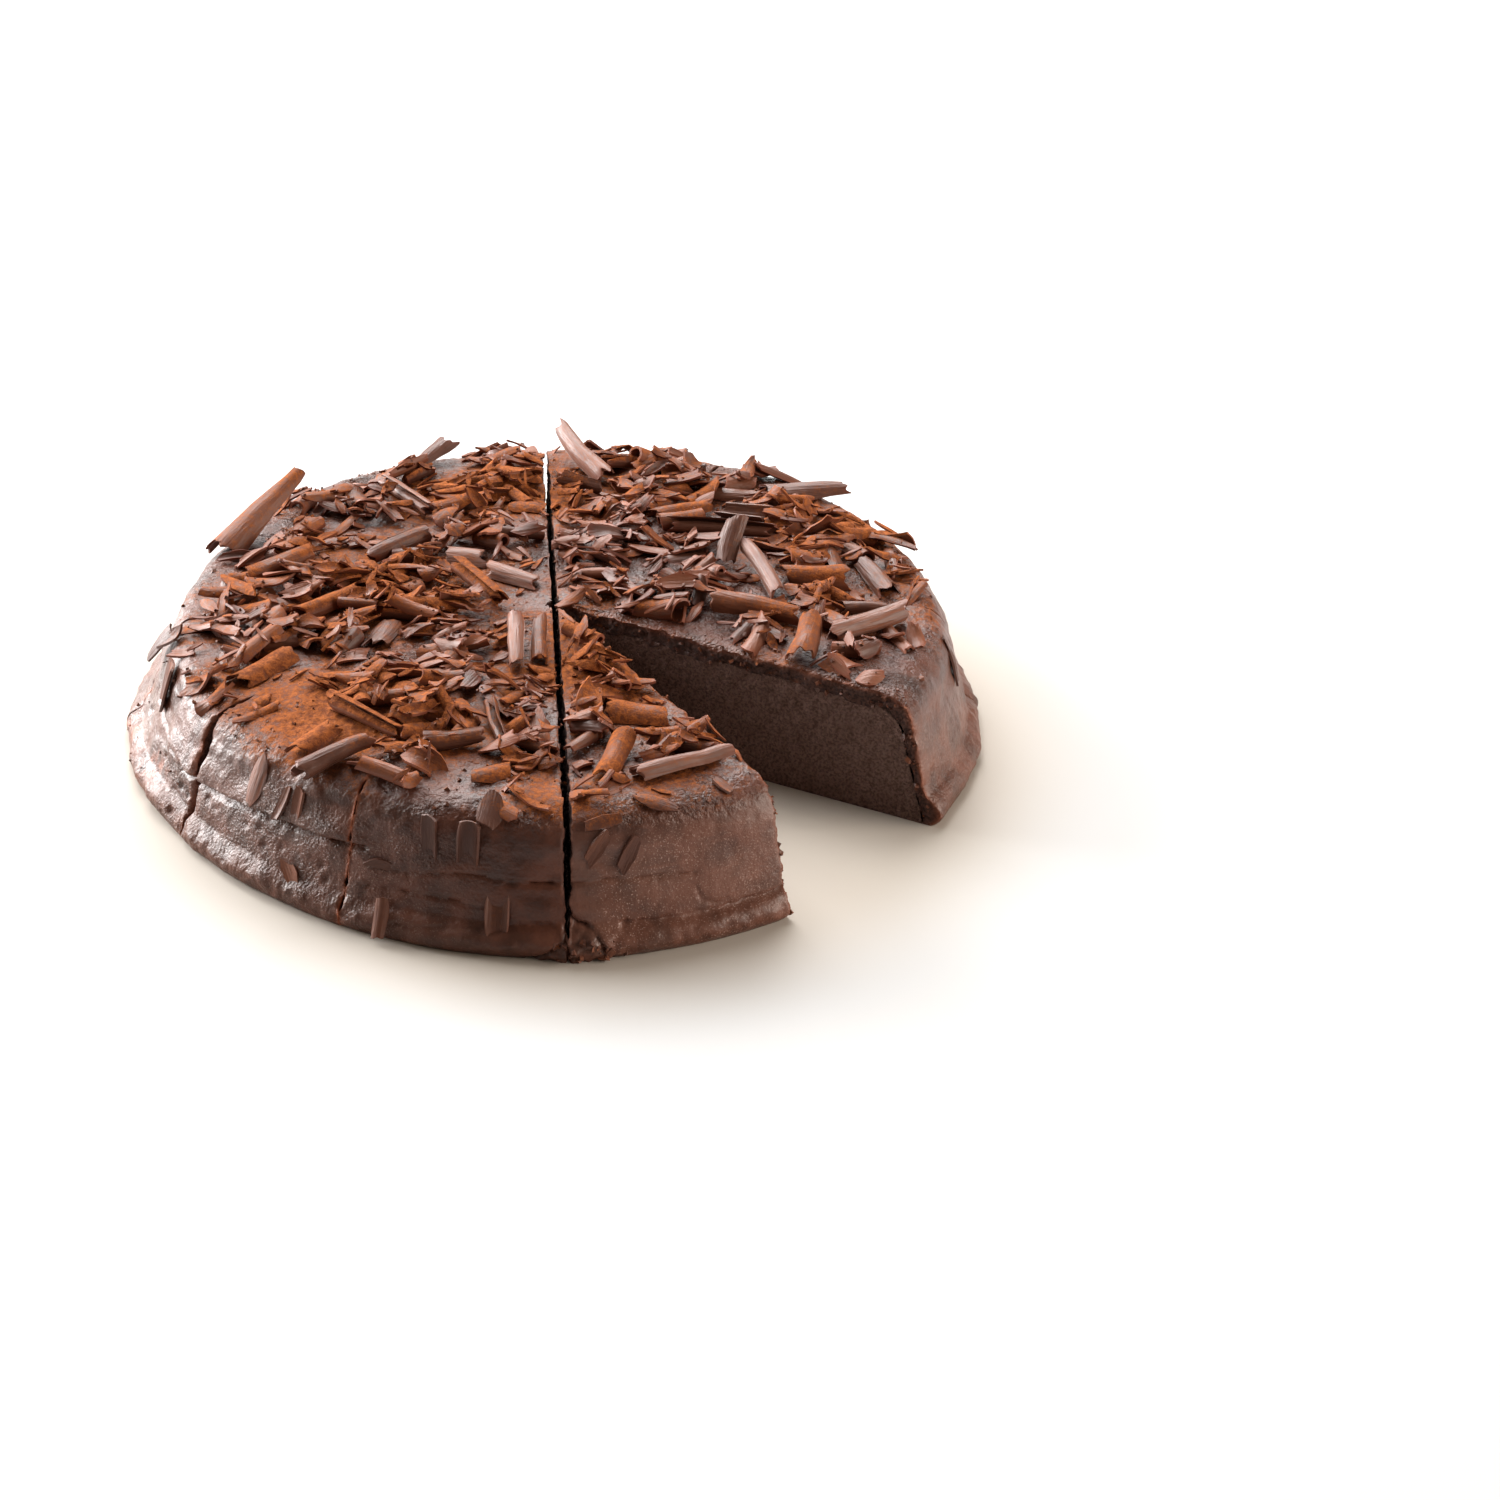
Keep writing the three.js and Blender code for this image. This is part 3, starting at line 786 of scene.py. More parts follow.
def displace(piece, texture, strength, group, level, direction="NORMAL"):
    """Pushes a group of points along their normals or straight up by a texture, for good."""
    only(piece)
    modifier = piece.modifiers.new("relief", "DISPLACE")
    modifier.texture = texture
    modifier.texture_coords = "LOCAL"
    modifier.strength = strength
    modifier.mid_level = level
    modifier.vertex_group = group
    modifier.direction = direction
    bpy.ops.object.modifier_apply(modifier=modifier.name)


LUMPS = cloud("lumps", 12 * MM, 2)
DIMPLES = cloud("dimples", 3.2 * MM, 1)
TEARS = cloud("tears", 4.5 * MM, 2)
BUBBLES = bubbles("bubbles", 6 * MM)
CRUMB = cloud("crumb", 1.6 * MM, 2)

# %% [markdown]
# Now the eleven coats. The left and the back of the cake are the rough, pitted sides, and the front right
# was smoothed, so the weights of the pits follow the bearing.

# %% Make the coats of icing
SMOOTH_BEARING = 290
SMOOTH_SPREAD = 48
PITTED_BELOW = 26 * MM
PITTED_FADE = 10 * MM
COAT_ANGLE = math.radians(60)
# How pale the icing of the side is painted at a bearing, as light where the lamps fall on it, and how glossy,
# where it is wet.
PAINTED_LIGHT_BEARINGS = [(0, 0.2), (40, 0.05), (170, 0.1), (225, 0.12), (269, 0), (271, 0.3), (300, 0.25), (360, 0.2)]
GLAZED_BEARINGS = [(0, 0.2), (40, 0.1), (160, 0.2), (180, 0.5), (222, 0.42), (245, 0.1), (300, 0), (360, 0.2)]
# Where the top is wet: bearing, distance out and size.
WET_SPOTS = [(331, 46, 20), (336, 103, 18), (120, 100, 14), (60, 104, 14), (215, 48, 12)]
# Relief of a coat: texture, depth, group of points, the level that stays in place, and the direction
# where it is not the normal.
COAT_RELIEF = [
    (LUMPS, 2.2 * MM, "level", 0.5, "Z"),
    (DIMPLES, 0.4 * MM, "level", 0.5, "Z"),
    (LUMPS, 2.2 * MM, "rough", 0.5),
    (DIMPLES, 0.7 * MM, "rough", 0.5),
    (BUBBLES, 1.1 * MM, "pits", 1.0),
    (TEARS, 1.8 * MM, "cut", 0.6),
    (CRUMB, 1.0 * MM, "cut", 0.5),
]
# Where the edge of a cut is painted lighter, as light that the edge catches: cut, portion, how far from the
# cut and how much.
EDGE_LIGHTING = (0.4 * MM, 0.25)
LIT_CUT_EDGES = {
    (7, 6): (1.2 * MM, 0.6), (7, 7): (0.2 * MM, 0.1), (8, 7): (0.6 * MM, 1.0), (8, 8): (0.35 * MM, 0.9),
    (10, 9): (0.6 * MM, 0.45), (11, 11): (0.7 * MM, 0.45), (9, 8): (0.3 * MM, 0.2), (9, 9): (0.3 * MM, 0.2),
}
# Lighter orange-brown patches low on the left side, in the colour of the lit cut edges: size, and path as for
# the furrows.
LIGHTER_PATCHES = [(3.5, [(196, 8), (200, 11)]), (2.5, [(182, 4), (186, 7)]), (2.5, [(179, 11), (181, 15)])]


def lighter_edge_and_patch_share(points, to_cut, depth, number):
    """How much painted light of the cut edges, and of the lighter patches, shows at each point, from 0 to 1.
    """
    nearest = np.rint(np.radians(bearing_of(points)) / STEP).astype(int) % PORTIONS
    edges = np.array([LIT_CUT_EDGES.get((cut, number), EDGE_LIGHTING) for cut in range(PORTIONS)])
    reach, most = edges[nearest].T
    ragged = 0.75 + 0.25 * noise(points, 2 * MM, 12)
    share = most * ragged * np.exp(-to_cut / reach) * np.exp(-6 * depth)
    for size, path in LIGHTER_PATCHES:
        near = hump(from_path(points, path), size * MM)
        share = np.maximum(share, 0.45 * near * ease(noise(points, 1.8 * MM, 14), -0.3, 0.5))
    return share


def patches(points, bearings):
    """A share of 0 to 1 for each point, given for some bearings, in soft patches."""
    share = np.interp(bearing_of(points), *np.transpose(bearings))
    return share * (0.7 + 0.5 * noise(points, 9 * MM, 13))


def glazed_share(points):
    """How glossy the icing of the side is at each point."""
    share = ease(points[:, 2], 4 * MM, 12 * MM) * patches(points, GLAZED_BEARINGS)
    share = share * (1 - ease(points[:, 2], WALL_TOP + 4 * MM, HEIGHT - SHOULDER_DROP))
    return share * (0.8 + 0.6 * noise(points, 2.2 * MM, 15))


def wrinkled_share(points):
    """How wrinkled the icing of the top is at each point, most of all in its wet places."""
    share = 0.4 + 0.6 * ease(noise(points, 12 * MM, 4), -0.3, 0.3)
    for bearing, out, size in WET_SPOTS:
        share = share + 0.6 * hump(away_from(points, bearing, out * MM), size * MM)
    return share * ease(points[:, 2], WALL_TOP + 5 * MM, WALL_TOP + 10 * MM)


def make_coat(number):
    piece, to_cut = portion_copy(first_coat, f"icing_coat_{number:02d}", number)
    depth = marked(piece, "depth")
    points = work_icing(points_of(piece), depth, to_cut)
    torn = (to_cut < ON_CUT) * ease(points[:, 2], 0, 2 * MM)
    dip = ease(depth, 0.5, 1) * ease(noise(points, 4 * MM, 11), -0.4, 0.6)
    points[:, 2] -= 2 * MM * dip * torn * ease(points[:, 2], WALL_TOP - LIP_HEIGHT, WALL_TOP)
    move_points(piece, points)
    height, bearing = points[:, 2], bearing_of(points)
    skin = (depth < SKIN_DEPTH) * ease(height, 0, 2 * MM)
    rough = ease(np.abs(off_bearing(bearing, SMOOTH_BEARING)), SMOOTH_SPREAD / 2, SMOOTH_SPREAD)
    side = 1 - ease(height, WALL_TOP, HEIGHT - SHOULDER_DROP)
    lip = 1 - ease(height, 0.7 * LIP_HEIGHT, LIP_HEIGHT)
    pitted = 1 - ease(height, PITTED_BELOW - PITTED_FADE, PITTED_BELOW)
    patchy = ease(noise(points, 14 * MM, 5), -0.1, 0.5)
    level = 1 - ease(np.hypot(points[:, 0], points[:, 1]), SMEARED_INSIDE, SMEARED_INSIDE + 8 * MM)
    # Where painted glints gather: the smooth front right, beside the front cut.
    glint_share = ease(bearing, CRACKED_BEARING, CRACKED_BEARING + 6) * (1 - rough)
    groups = {
        "level": skin * level,
        "rough": skin * (1 - level) * (0.4 + 0.4 * rough),
        "pits": skin * side * rough * patchy * pitted,
        "cut": torn,
    }
    marks = {
        "wrinkled": wrinkled_share(points),
        "grainy": side * (0.2 + 0.6 * rough * (0.5 + patchy)),
        # Painted glints on the side.
        "specked": side * (0.25 * rough + 0.55 * glint_share * (0.5 + 0.7 * patchy)),
        # Painted light: the side is paler at some bearings, where the lamps fall on it.
        "pale": side * (1 - 0.6 * lip) * patches(points, PAINTED_LIGHT_BEARINGS) + 0.08 * lip,
        "glazed": (skin > 0) * glazed_share(points),
        "torn": torn,
        # Cut edges painted lighter, as if lit, and the lighter patches of the left side.
        "lighter_edges_and_patches": lighter_edge_and_patch_share(points, to_cut, depth, number),
        "dust": dust_on(points),
    }
    for name, weights in groups.items():
        group_points(piece, name, weights)
    for relief in COAT_RELIEF:
        displace(piece, *relief)
    for name, values in marks.items():
        mark(piece, name, values)
    bpy.ops.object.shade_smooth_by_angle(angle=COAT_ANGLE)
    dress(piece, ICING, "icing", f"icing_{number:02d}")
    return piece


coats = [make_coat(number) for number in NUMBERS]
bpy.data.objects.remove(first_coat)
print("coats of icing:", sum(len(coat.data.polygons) for coat in coats), "faces")

# %% [markdown]
# Only the cut faces of the sponge show, so they get the fine points and the rest stays coarse. The crumb is
# torn rather than sliced: clouds of two sizes pull it in and out.

# %% Make the sponges
SPONGE_CELL = 1.1 * MM
sponge_outside = evenly(sponge_line(0), int((RADIUS + WALL_TOP) / SPONGE_CELL))
sponge_inside = np.stack([sponge_outside[:, 0], np.zeros(len(sponge_outside))], axis=1)
first_sponge = spun_portion(sponge_outside, sponge_inside, int(HEIGHT / SPONGE_CELL), 6)


def make_sponge(number):
    piece, to_cut = portion_copy(first_sponge, f"sponge_cake_{number:02d}", number)
    height = points_of(piece)[:, 2]
    group_points(piece, "cut", (to_cut < ON_CUT) * ease(height, 0, 1.5 * MM))
    displace(piece, CRUMB, 1.1 * MM, "cut", 0.65)
    displace(piece, DIMPLES, 0.9 * MM, "cut", 0.65)
    bpy.ops.object.shade_smooth()
    dress(piece, SPONGE, "sponge", f"sponge_{number:02d}")
    return piece


sponges = [make_sponge(number) for number in NUMBERS]
bpy.data.objects.remove(first_sponge)
print("sponges:", sum(len(sponge.data.polygons) for sponge in sponges), "faces")

# %% [markdown]
# The largest curls stand in the frame one by one, as plain folded strips. A copy of each is merged, its
# facets are rounded by a Subdivision Surface with its rims creased so that the sheet keeps its thickness,
# and its ends are torn. Its own length and width are stored for the lines that the blade left.

# %% Round off the large curls
FLAT_ANGLE = math.radians(5)
RIM_ANGLE = math.radians(62)
RIM_CREASE = 0.75
SMOOTH_ANGLE = math.radians(50)
SAME_CORNER = 0.01 * MM
ROUNDING_SHRINK = 0.92
# How much a curl may taper and bow, how far its ends are torn, and the depth and size of its dents.
TAPER = 0.2
BOW = 0.07
TORN_ENDS = 2.2 * MM
DENT_DEPTH = 0.5 * MM
DENT_SIZE = 7 * MM
THINNING = 0.17 * MM
DUST_LUCK = (-0.22, 0.36)
# Curls with a painted sheen, for light they reflect, and curls that lie under the cocoa. Others are plain and
# dark.
SHEEN_PAINTED_CURLS = (3, 4, 7, 11, 14, 19, 20, 34)
COVERED = (1, 8, 9, 10, 12, 13, 15, 17, 21, 22, 23, 26, 28)
# Curls that narrow towards their upper end, or widen.
TAPERED = {1: -0.45, 2: 0.3, 5: 0.35}


def tone_and_luck(number):
    """How pale a large curl is, the palest with a painted sheen, and how much more cocoa it caught than its
    surroundings.
    """
    if number in SHEEN_PAINTED_CURLS:
        return 1.05, -0.3
    if number in COVERED:
        return 0.5, 0.3
    return 0.25, -0.15


def mark_shavings(piece, tones, lucks, edge, grain):
    """Stores what the finish of shavings reads, for a mesh of things that each have a tone and a luck."""
    size = len(piece.data.vertices) // len(tones)
    mark(piece, "tone", np.repeat(tones, size))
    mark(piece, "dust", dust_on(points_of(piece)) + np.repeat(lucks, size))
    mark(piece, "edge", edge)
    mark(piece, "grain", grain)


def own_axes(points):
    """The middle of a piece and its axes, the longest first and pointing up."""
    middle = points.mean(axis=0)
    axes = np.linalg.svd(points - middle, full_matrices=False)[2]
    if axes[0, 2] < 0:
        axes[0] *= -1
    return middle, axes


def make_curl(name):
    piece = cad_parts[name].copy()
    piece.data = piece.data.copy()
    piece.parent = None
    for key in list(piece.keys()):
        del piece[key]
    piece.name = name.replace("curl", "large_curl")
    bpy.context.collection.objects.link(piece)
    only(piece)
    middle, axes = own_axes(points_of(piece))
    with editing():
        bpy.ops.mesh.remove_doubles(threshold=SAME_CORNER)
        bpy.ops.mesh.tris_convert_to_quads(face_threshold=FLAT_ANGLE, shape_threshold=math.pi)
        bpy.ops.mesh.select_mode(type="EDGE")
        bpy.ops.mesh.select_all(action="DESELECT")
        bpy.ops.mesh.edges_select_sharp(sharpness=RIM_ANGLE)
        bpy.ops.transform.edge_crease(value=RIM_CREASE)
    rounding = piece.modifiers.new("rounding", "SUBSURF")
    rounding.levels = 3
    bpy.ops.object.modifier_apply(modifier=rounding.name)
    thinning = piece.modifiers.new("thinning", "DISPLACE")
    thinning.strength = -THINNING
    thinning.mid_level = 0
    bpy.ops.object.modifier_apply(modifier=thinning.name)
    own = (points_of(piece) - middle) @ axes.T
    half = np.abs(own[:, 0]).max()
    share = own[:, 0] / half
    number = int(name[-2:])
    taper, bow = lot(-TAPER, TAPER), lot(-BOW, BOW)
    own[:, 1:] *= ((1 + TAPERED.get(number, taper) * share) / ROUNDING_SHRINK)[:, None]
    own[:, 1] += bow * half * (share**2 - 0.4)
    torn = ease(np.abs(share), 0.5, 1.0) * noise(own * (0.2, 1, 1), 1.6 * MM, number)
    own[:, 0] += TORN_ENDS * torn * np.sign(own[:, 0])
    for side in (1, 2):
        own[:, side] += DENT_DEPTH * noise(own, DENT_SIZE, number + 30 * side)
    move_points(piece, middle + own @ axes)
    tone, luck = tone_and_luck(number)
    mark_shavings(piece, [tone], [luck], ease(np.abs(share), 0.86, 1.0), own + number)
    bpy.ops.object.shade_smooth_by_angle(angle=SMOOTH_ANGLE)
    dress(piece, CHOCOLATE, "chocolate", name)
    return piece


curls = [make_curl(name) for name in CURLS]
print("large curls:", sum(len(curl.data.polygons) for curl in curls), "faces")

# %% [markdown]
# Shavings lie on the icing and on each other. A simulation of thousands of thin sheets would take hours, so
# they are dropped one at a time onto a map of heights: each tilts to the ground under it, sinks until a
# little of it touches, and is then drawn into the map for the next one to lie on.

# %% A map of what lies on the cake
class Ground:
    """Heights of the cake and all that lies on it, on a square grid."""

    CELL = 1.0 * MM
    REACH = 132 * MM

    def __init__(self):
        count = int(2 * self.REACH / self.CELL)
        self.height = np.zeros((count, count))

    def cells(self, points):
        index = ((points[:, :2] + self.REACH) / self.CELL).astype(int)
        return tuple(np.clip(index, 0, len(self.height) - 1).T)

    def add(self, points):
        np.maximum.at(self.height, self.cells(points), points[:, 2])

    def under(self, points):
        return self.height[self.cells(points)]

    def close_holes(self):
        """Fills cells that no point fell in from their neighbours."""
        for axis in (0, 1):
            beside = np.minimum(np.roll(self.height, 1, axis), np.roll(self.height, -1, axis))
            self.height = np.maximum(self.height, beside)


ground = Ground()
for coat in coats:
    ground.add(points_of(coat))
ground.close_holes()
bare = ground.height.copy()
curl_cover = np.zeros(bare.shape, dtype=bool)
for curl in curls:
    ground.add(points_of(curl))
    curl_cover[ground.cells(points_of(curl))] = True
print("highest point of the map:", round(ground.height.max() / MM, 1), "mm")

# %% [markdown]
# A shaving is a sheet: a small grid of points, rolled up across its width, bent and twisted along its
# length, with wavy sides that narrow towards one end or both. It has a top, an underside and a rim, so that
# it is closed. There are hundreds, so they are built as arrays and joined into one mesh for each kind.

# %% One shaving
def sheet_faces(along, across):
    """Faces of a closed sheet: a grid of points on top, the same below, and a rim between them."""
    grid = np.arange(along * across).reshape(along, across)
    top = np.stack([grid[:-1, :-1], grid[1:, :-1], grid[1:, 1:], grid[:-1, 1:]], axis=-1).reshape(-1, 4)
    under = (top + along * across)[:, ::-1]
    ring = np.concatenate([grid[0, :-1], grid[:-1, -1], grid[-1, :0:-1], grid[:0:-1, 0]])
    after = np.roll(ring, -1)
    rim = np.stack([ring, after, after + along * across, ring + along * across], axis=-1)
    return np.concatenate([top, under, rim])


def wavy(values, size):
    """A smooth random wave over the values."""
    return size * sum(np.sin(pace * values + lot(0, 2 * math.pi)) / pace for pace in (1.3, 2.9, 5.7))


def shaving(kind):
    """The middle of one shaving, as a grid of points, and how near each is to its rim."""
    along, across = kind["grid"]
    length, width, roll = (lot(*kind[size]) for size in ("length", "width", "roll"))
    u = np.linspace(-1, 1, along)[:, None]
    v = np.linspace(-1, 1, across)[None, :]
    ends = np.where(u < 0, lot(*kind["pointed"]), lot(*kind["pointed"]))
    narrow = 1 - ends * np.abs(u) ** lot(0.9, 1.8)
    sides = 1 + np.where(v < 0, wavy(u, kind["torn"]), wavy(u, kind["torn"]))
    turn = v * narrow * sides * roll / 2
    tight = 1 - kind["tighten"] * (0.5 + 0.5 * v)
    slant = lot(-0.3, 0.3) * width * v
    ragged = np.abs(u) ** 3 * np.where(u < 0, wavy(2 * v, kind["torn"]), wavy(2 * v, kind["torn"]))
    x = (u + 0.6 * ragged) * length / 2 + slant * (1 - np.abs(v) * 0.2)
    y = width / roll * tight * np.sin(turn)
    z = width / roll * (1 - tight * np.cos(turn))
    twist = lot(-1, 1) * kind["twist"] * u
    bend = lot(-1, 1) * kind["bend"] * length * np.maximum(0, u * rng.choice([-1, 1]) + 0.6) ** 2
    rolled = y * np.sin(twist) + z * np.cos(twist) + bend
    points = np.stack([x, y * np.cos(twist) - z * np.sin(twist), rolled], axis=-1)
    rim = np.maximum(np.abs(u) + 0 * v, np.abs(v) + 0 * u)
    return points, ease(rim, 0.7, 1.0)


def thicken(points, thickness):
    """Both faces of a sheet, half its thickness to each side of its middle."""
    normal = np.cross(np.gradient(points, axis=0), np.gradient(points, axis=1))
    normal /= np.linalg.norm(normal, axis=-1, keepdims=True) + 1e-12
    half = normal * thickness / 2
    return np.concatenate([(points + half).reshape(-1, 3), (points - half).reshape(-1, 3)])


# %% [markdown]
# Dropping one shaving: it gets a heading, then the slope of the ground under it is fitted by least squares
# and the sheet is tilted to it, not too steeply. It comes down until a share of its points touches what is
# there. One that would bury a large curl, bridge an open cut or pile up too high is put somewhere else.

# %% Drop a shaving
STEEPEST = 0.6
LARGEST_PILE = 5.5 * MM
MOST_BURIED = 0.12
SPREAD = 113 * MM
SPARSE_FROM = 96 * MM
# The mean heading of a shaving and its spread, and the share that falls with the hollow side down.
HEADING = (0.15, 0.75)
HOLLOW_DOWN = 0.7
# Places on the top that were left nearly bare: bearing, distance out and size.
BARE_SPOTS = [
    (331, 44, 13),
    (338, 106, 16),
    (168, 104, 13),
    (256, 104, 15),
    (292, 106, 13),
    (106, 97, 12),
    (215, 48, 8),
    (60, 108, 12),
    (20, 30, 8),
    (136, 66, 8),
    (150, 106, 18),
    (124, 107, 14),
    (218, 94, 12),
]


def bare_share(spot):
    """How nearly bare a place on the top is, from 0 to 1."""
    share = ease(np.linalg.norm(spot), SPARSE_FROM, SPREAD)
    for bearing, out, size in BARE_SPOTS:
        share = max(share, 1 - ease(away_from(spot, bearing, out * MM), 0.6 * size * MM, 1.2 * size * MM))
    return share


def in_the_way(points):
    """True if a sheet hangs over the gap, bridges an open cut or buries a large curl."""
    bearing = bearing_of(points)
    start, end = (math.degrees(side * STEP) for side in OPEN_SIDES)
    if np.any((bearing > start) & (bearing < end)):
        return True
    for cut in WIDE_CUTS:
        along, across = math.cos(cut * STEP), math.sin(cut * STEP)
        ahead = points[points[:, 0] * along + points[:, 1] * across > 0]
        aside = ahead[:, 1] * along - ahead[:, 0] * across
        if np.any(aside > 0) and np.any(aside < 0):
            return True
    return curl_cover[ground.cells(points)].mean() > MOST_BURIED


def turned_to(slope):
    """The turn that lays a level sheet on ground with the given slopes in x and y."""
    normal = Vector((-slope[0], -slope[1], 1)).normalized()
    return np.array(Vector((0, 0, 1)).rotation_difference(normal).to_matrix())


def drop(points, spot, kind):
    """Lays a sheet down at a spot, and returns its points, or None if it doesn't fit there."""
    heading = rng.normal(*HEADING)
    spin = np.array([[math.cos(heading), -math.sin(heading)], [math.sin(heading), math.cos(heading)]])
    flat = points.reshape(-1, 3) * (1, 1, rng.choice([1, -1], p=[1 - HOLLOW_DOWN, HOLLOW_DOWN]))
    flat[:, :2] = flat[:, :2] @ spin.T
    if in_the_way(flat + (*spot, 0)):
        return None
    heights = ground.under(flat + (*spot, 0))
    level = np.column_stack([flat[:, :2], np.ones(len(flat))])
    slope = np.linalg.lstsq(level, heights, rcond=None)[0][:2]
    slope = slope * min(1, STEEPEST / (np.linalg.norm(slope) + 1e-9))
    slope = slope + rng.normal(0, kind["jitter"], 2)
    laid = flat @ turned_to(slope).T + (*spot, 0)
    lift = np.quantile(ground.under(laid) - laid[:, 2], kind["rest"]) + kind["thickness"] / 2
    laid[:, 2] += lift
    if np.median(laid[:, 2] - bare[ground.cells(laid)]) > LARGEST_PILE:
        return None
    return laid.reshape(points.shape)


def finer(points):
    """A grid of points with two more between each pair, to draw on the map."""
    for axis in (0, 1):
        start = np.moveaxis(points, axis, 0)
        shares = np.linspace(0, len(start) - 1, 3 * len(start) - 2)
        low = np.minimum(shares.astype(int), len(start) - 2)
        part = (shares - low)[:, None, None]
        points = np.moveaxis(start[low] * (1 - part) + start[low + 1] * part, 0, axis)
    return points


# %% [markdown]
# Five kinds of shaving, from quills rolled right round and broad petals to thin splinters. The large ones
# fall first and the splinters fill in between. All lie low, pressed a little into the icing.

# %% Strew the shavings
# For each kind: count, grid of points, least and greatest length and width in millimetres, roll, how pointed
# the ends are, how torn, how much tighter one side is rolled, twist, bend, thickness in millimetres, share of
# the points that stay clear of what lies below, and how far the tilt is off the slope there.
KIND_SIZES = "count grid length width roll pointed torn tighten twist bend thickness rest jitter".split()
KINDS = {
    "quills": (55, (7, 16), (9, 17), (8, 14), (3.4, 6.4), (0, 0.25), 0.08, 0.3, 0.25, 0.04, 0.8, 0.86, 0.08),
    "gutters": (180, (9, 7), (9, 18), (4, 8), (1.2, 3.2), (0, 0.5), 0.16, 0.05, 0.5, 0.08, 0.75, 0.75, 0.1),
    "petals": (60, (7, 7), (7, 13), (4.5, 8.5), (0.8, 2.2), (0, 0.5), 0.25, 0, 0.7, 0.14, 0.7, 0.75, 0.14),
    "shards": (310, (5, 4), (4.5, 11), (2.4, 5), (0.5, 1.8), (0, 0.7), 0.25, 0, 0.6, 0.12, 0.65, 0.75, 0.18),
    "splinters": (240, (5, 3), (3, 9), (0.8, 1.8), (0.2, 0.9), (0, 0.9), 0.15, 0, 0.6, 0.08, 0.5, 0.78, 0.15),
}


def kind_of(row):
    """The row of a kind with its values named, and its lengths in metres."""
    kind = dict(zip(KIND_SIZES, row))
    for size in ("length", "width"):
        kind[size] = [side * MM for side in kind[size]]
    kind["thickness"] *= MM
    return kind


def joined_sheets(name, sheets, grid, thickness, tones):
    """One mesh of many sheets, each with its own tone, dust and grain."""
    skins = [thicken(points, thickness) for points, rim in sheets]
    piece = joined(name, skins, sheet_faces(*grid))
    own = []
    for number, (points, rim) in enumerate(sheets):
        flat = points.reshape(-1, 3)
        middle, axes = own_axes(flat)
        own.append(np.tile((flat - middle) @ axes.T + 0.1 * number, (2, 1)))
    edge = np.concatenate([np.tile(rim.ravel(), 2) for points, rim in sheets])
    mark_shavings(piece, tones, lot(*DUST_LUCK, len(tones)), edge, np.concatenate(own))
    only(piece)
    bpy.ops.object.shade_smooth_by_angle(angle=SMOOTH_ANGLE)
    dress(piece, CHOCOLATE, "chocolate")
    return piece


def random_spot():
    """A place on the top, evenly spread."""
    out = SPREAD * math.sqrt(lot())
    angle = lot(0, 2 * math.pi)
    return np.array([out * math.cos(angle), out * math.sin(angle)])


def strewn(name, kind):
    """All shavings of one kind, dropped one after the other."""
    sheets = []
    while len(sheets) < kind["count"]:
        spot = random_spot()
        if lot() < bare_share(spot):
            continue
        points, rim = shaving(kind)
        laid = drop(points, spot, kind)
        if laid is None:
            continue
        ground.add(finer(laid).reshape(-1, 3) + (0, 0, kind["thickness"] / 2))
        sheets.append((laid, rim))
    tones = lot(0, 1.0, len(sheets))
    return joined_sheets(name, sheets, kind["grid"], kind["thickness"], tones)


heaps = [strewn(name, kind_of(row)) for name, row in KINDS.items()]
for heap in heaps:
    print(heap.name, len(heap.data.polygons), "faces")

# %% [markdown]
# Some flakes slid off and stuck to the side. The ones that show in front are placed one by one, and a few
# more are drawn by lot for the back. Each lies against the nearest point of the icing, along its normal, and
# either way round: a hollow turned out, or a back.

# %% Flakes on the side
# Bearing, height, length, width, roll, lean from upright, how pointed, tone, and how far it stands off.
# A tone above about 0.85 paints a sheen on a flake, for the light that it reflects.
SIDE_FLAKES = [
    (251.5, 29.6, 13, 5, 1.3, 0, 0.1, 0.1, 0),
    (257, 29.8, 12, 8, 2.4, 5, 0.15, 0.15, 0),
    (261, 12, 12, 7, 1.4, -4, 0.1, 0.3, 0),
    (274, 30, 10, 4.5, 0.9, 35, 0.3, 0.35, 0),
    (278, 27.5, 10, 5, 0.9, 30, 0.4, 0.05, 0),
    (275, 36, 10, 4, 0.8, 80, 0.4, 0.2, 0),
    (259.5, 37.3, 10, 8, -0.8, 12, 0.5, 0.2, 0.3),
    (258, 39.4, 11, 8, -2.2, 85, 0.3, 0.2, 0),
    (282.5, 38, 12, 5, -1.2, -50, 0.8, 0.2, 0.2),
    (293, 38.4, 6, 3.5, 0.8, -15, 0.4, 1.2, 0.3),
    (223, 29.5, 15, 7, -1.2, 8, 0.8, 1.1, 0),
    (228.5, 27, 10, 3, 0.8, 3, 0.2, 0.3, 0),
    (231, 29, 8, 4, 1.5, 3, 0.1, 0.5, 0),
    (231, 9.5, 14, 5, 0.8, -40, 0.75, 0.9, 0),
    (246, 6.5, 11, 5, -2.6, -3, 0.3, 0.35, 0),
    (245, 18.5, 9, 5.5, 0.4, 80, 0.7, 0.2, 0),
    (192.5, 29, 13, 7, 1.2, -6, 0.1, 1.1, 0.4),
    (182, 30, 13, 6, -0.8, 14, 0.2, 0.0, 1.6),
    (185, 35, 9, 6, 1.6, 30, 0.2, 0.1, 1.2),
    (352, 29, 14, 5, 0.9, 10, 0.6, 0.2, 0),
]
# The same for the back: how many, and the least and greatest value of each measure. None stands off.
BACK_FLAKES = 14
BACK_LOTS = [(5, 165), (5, 32), (8, 16), (3, 7), (0.5, 2.4), (-80, 80), (0.1, 0.7), (0.2, 0.8)]
SIDE_KIND = {"grid": (9, 7), "torn": 0.1, "tighten": 0.05, "twist": 0.2, "bend": 0.04}
SIDE_THICKNESS = 0.7 * MM

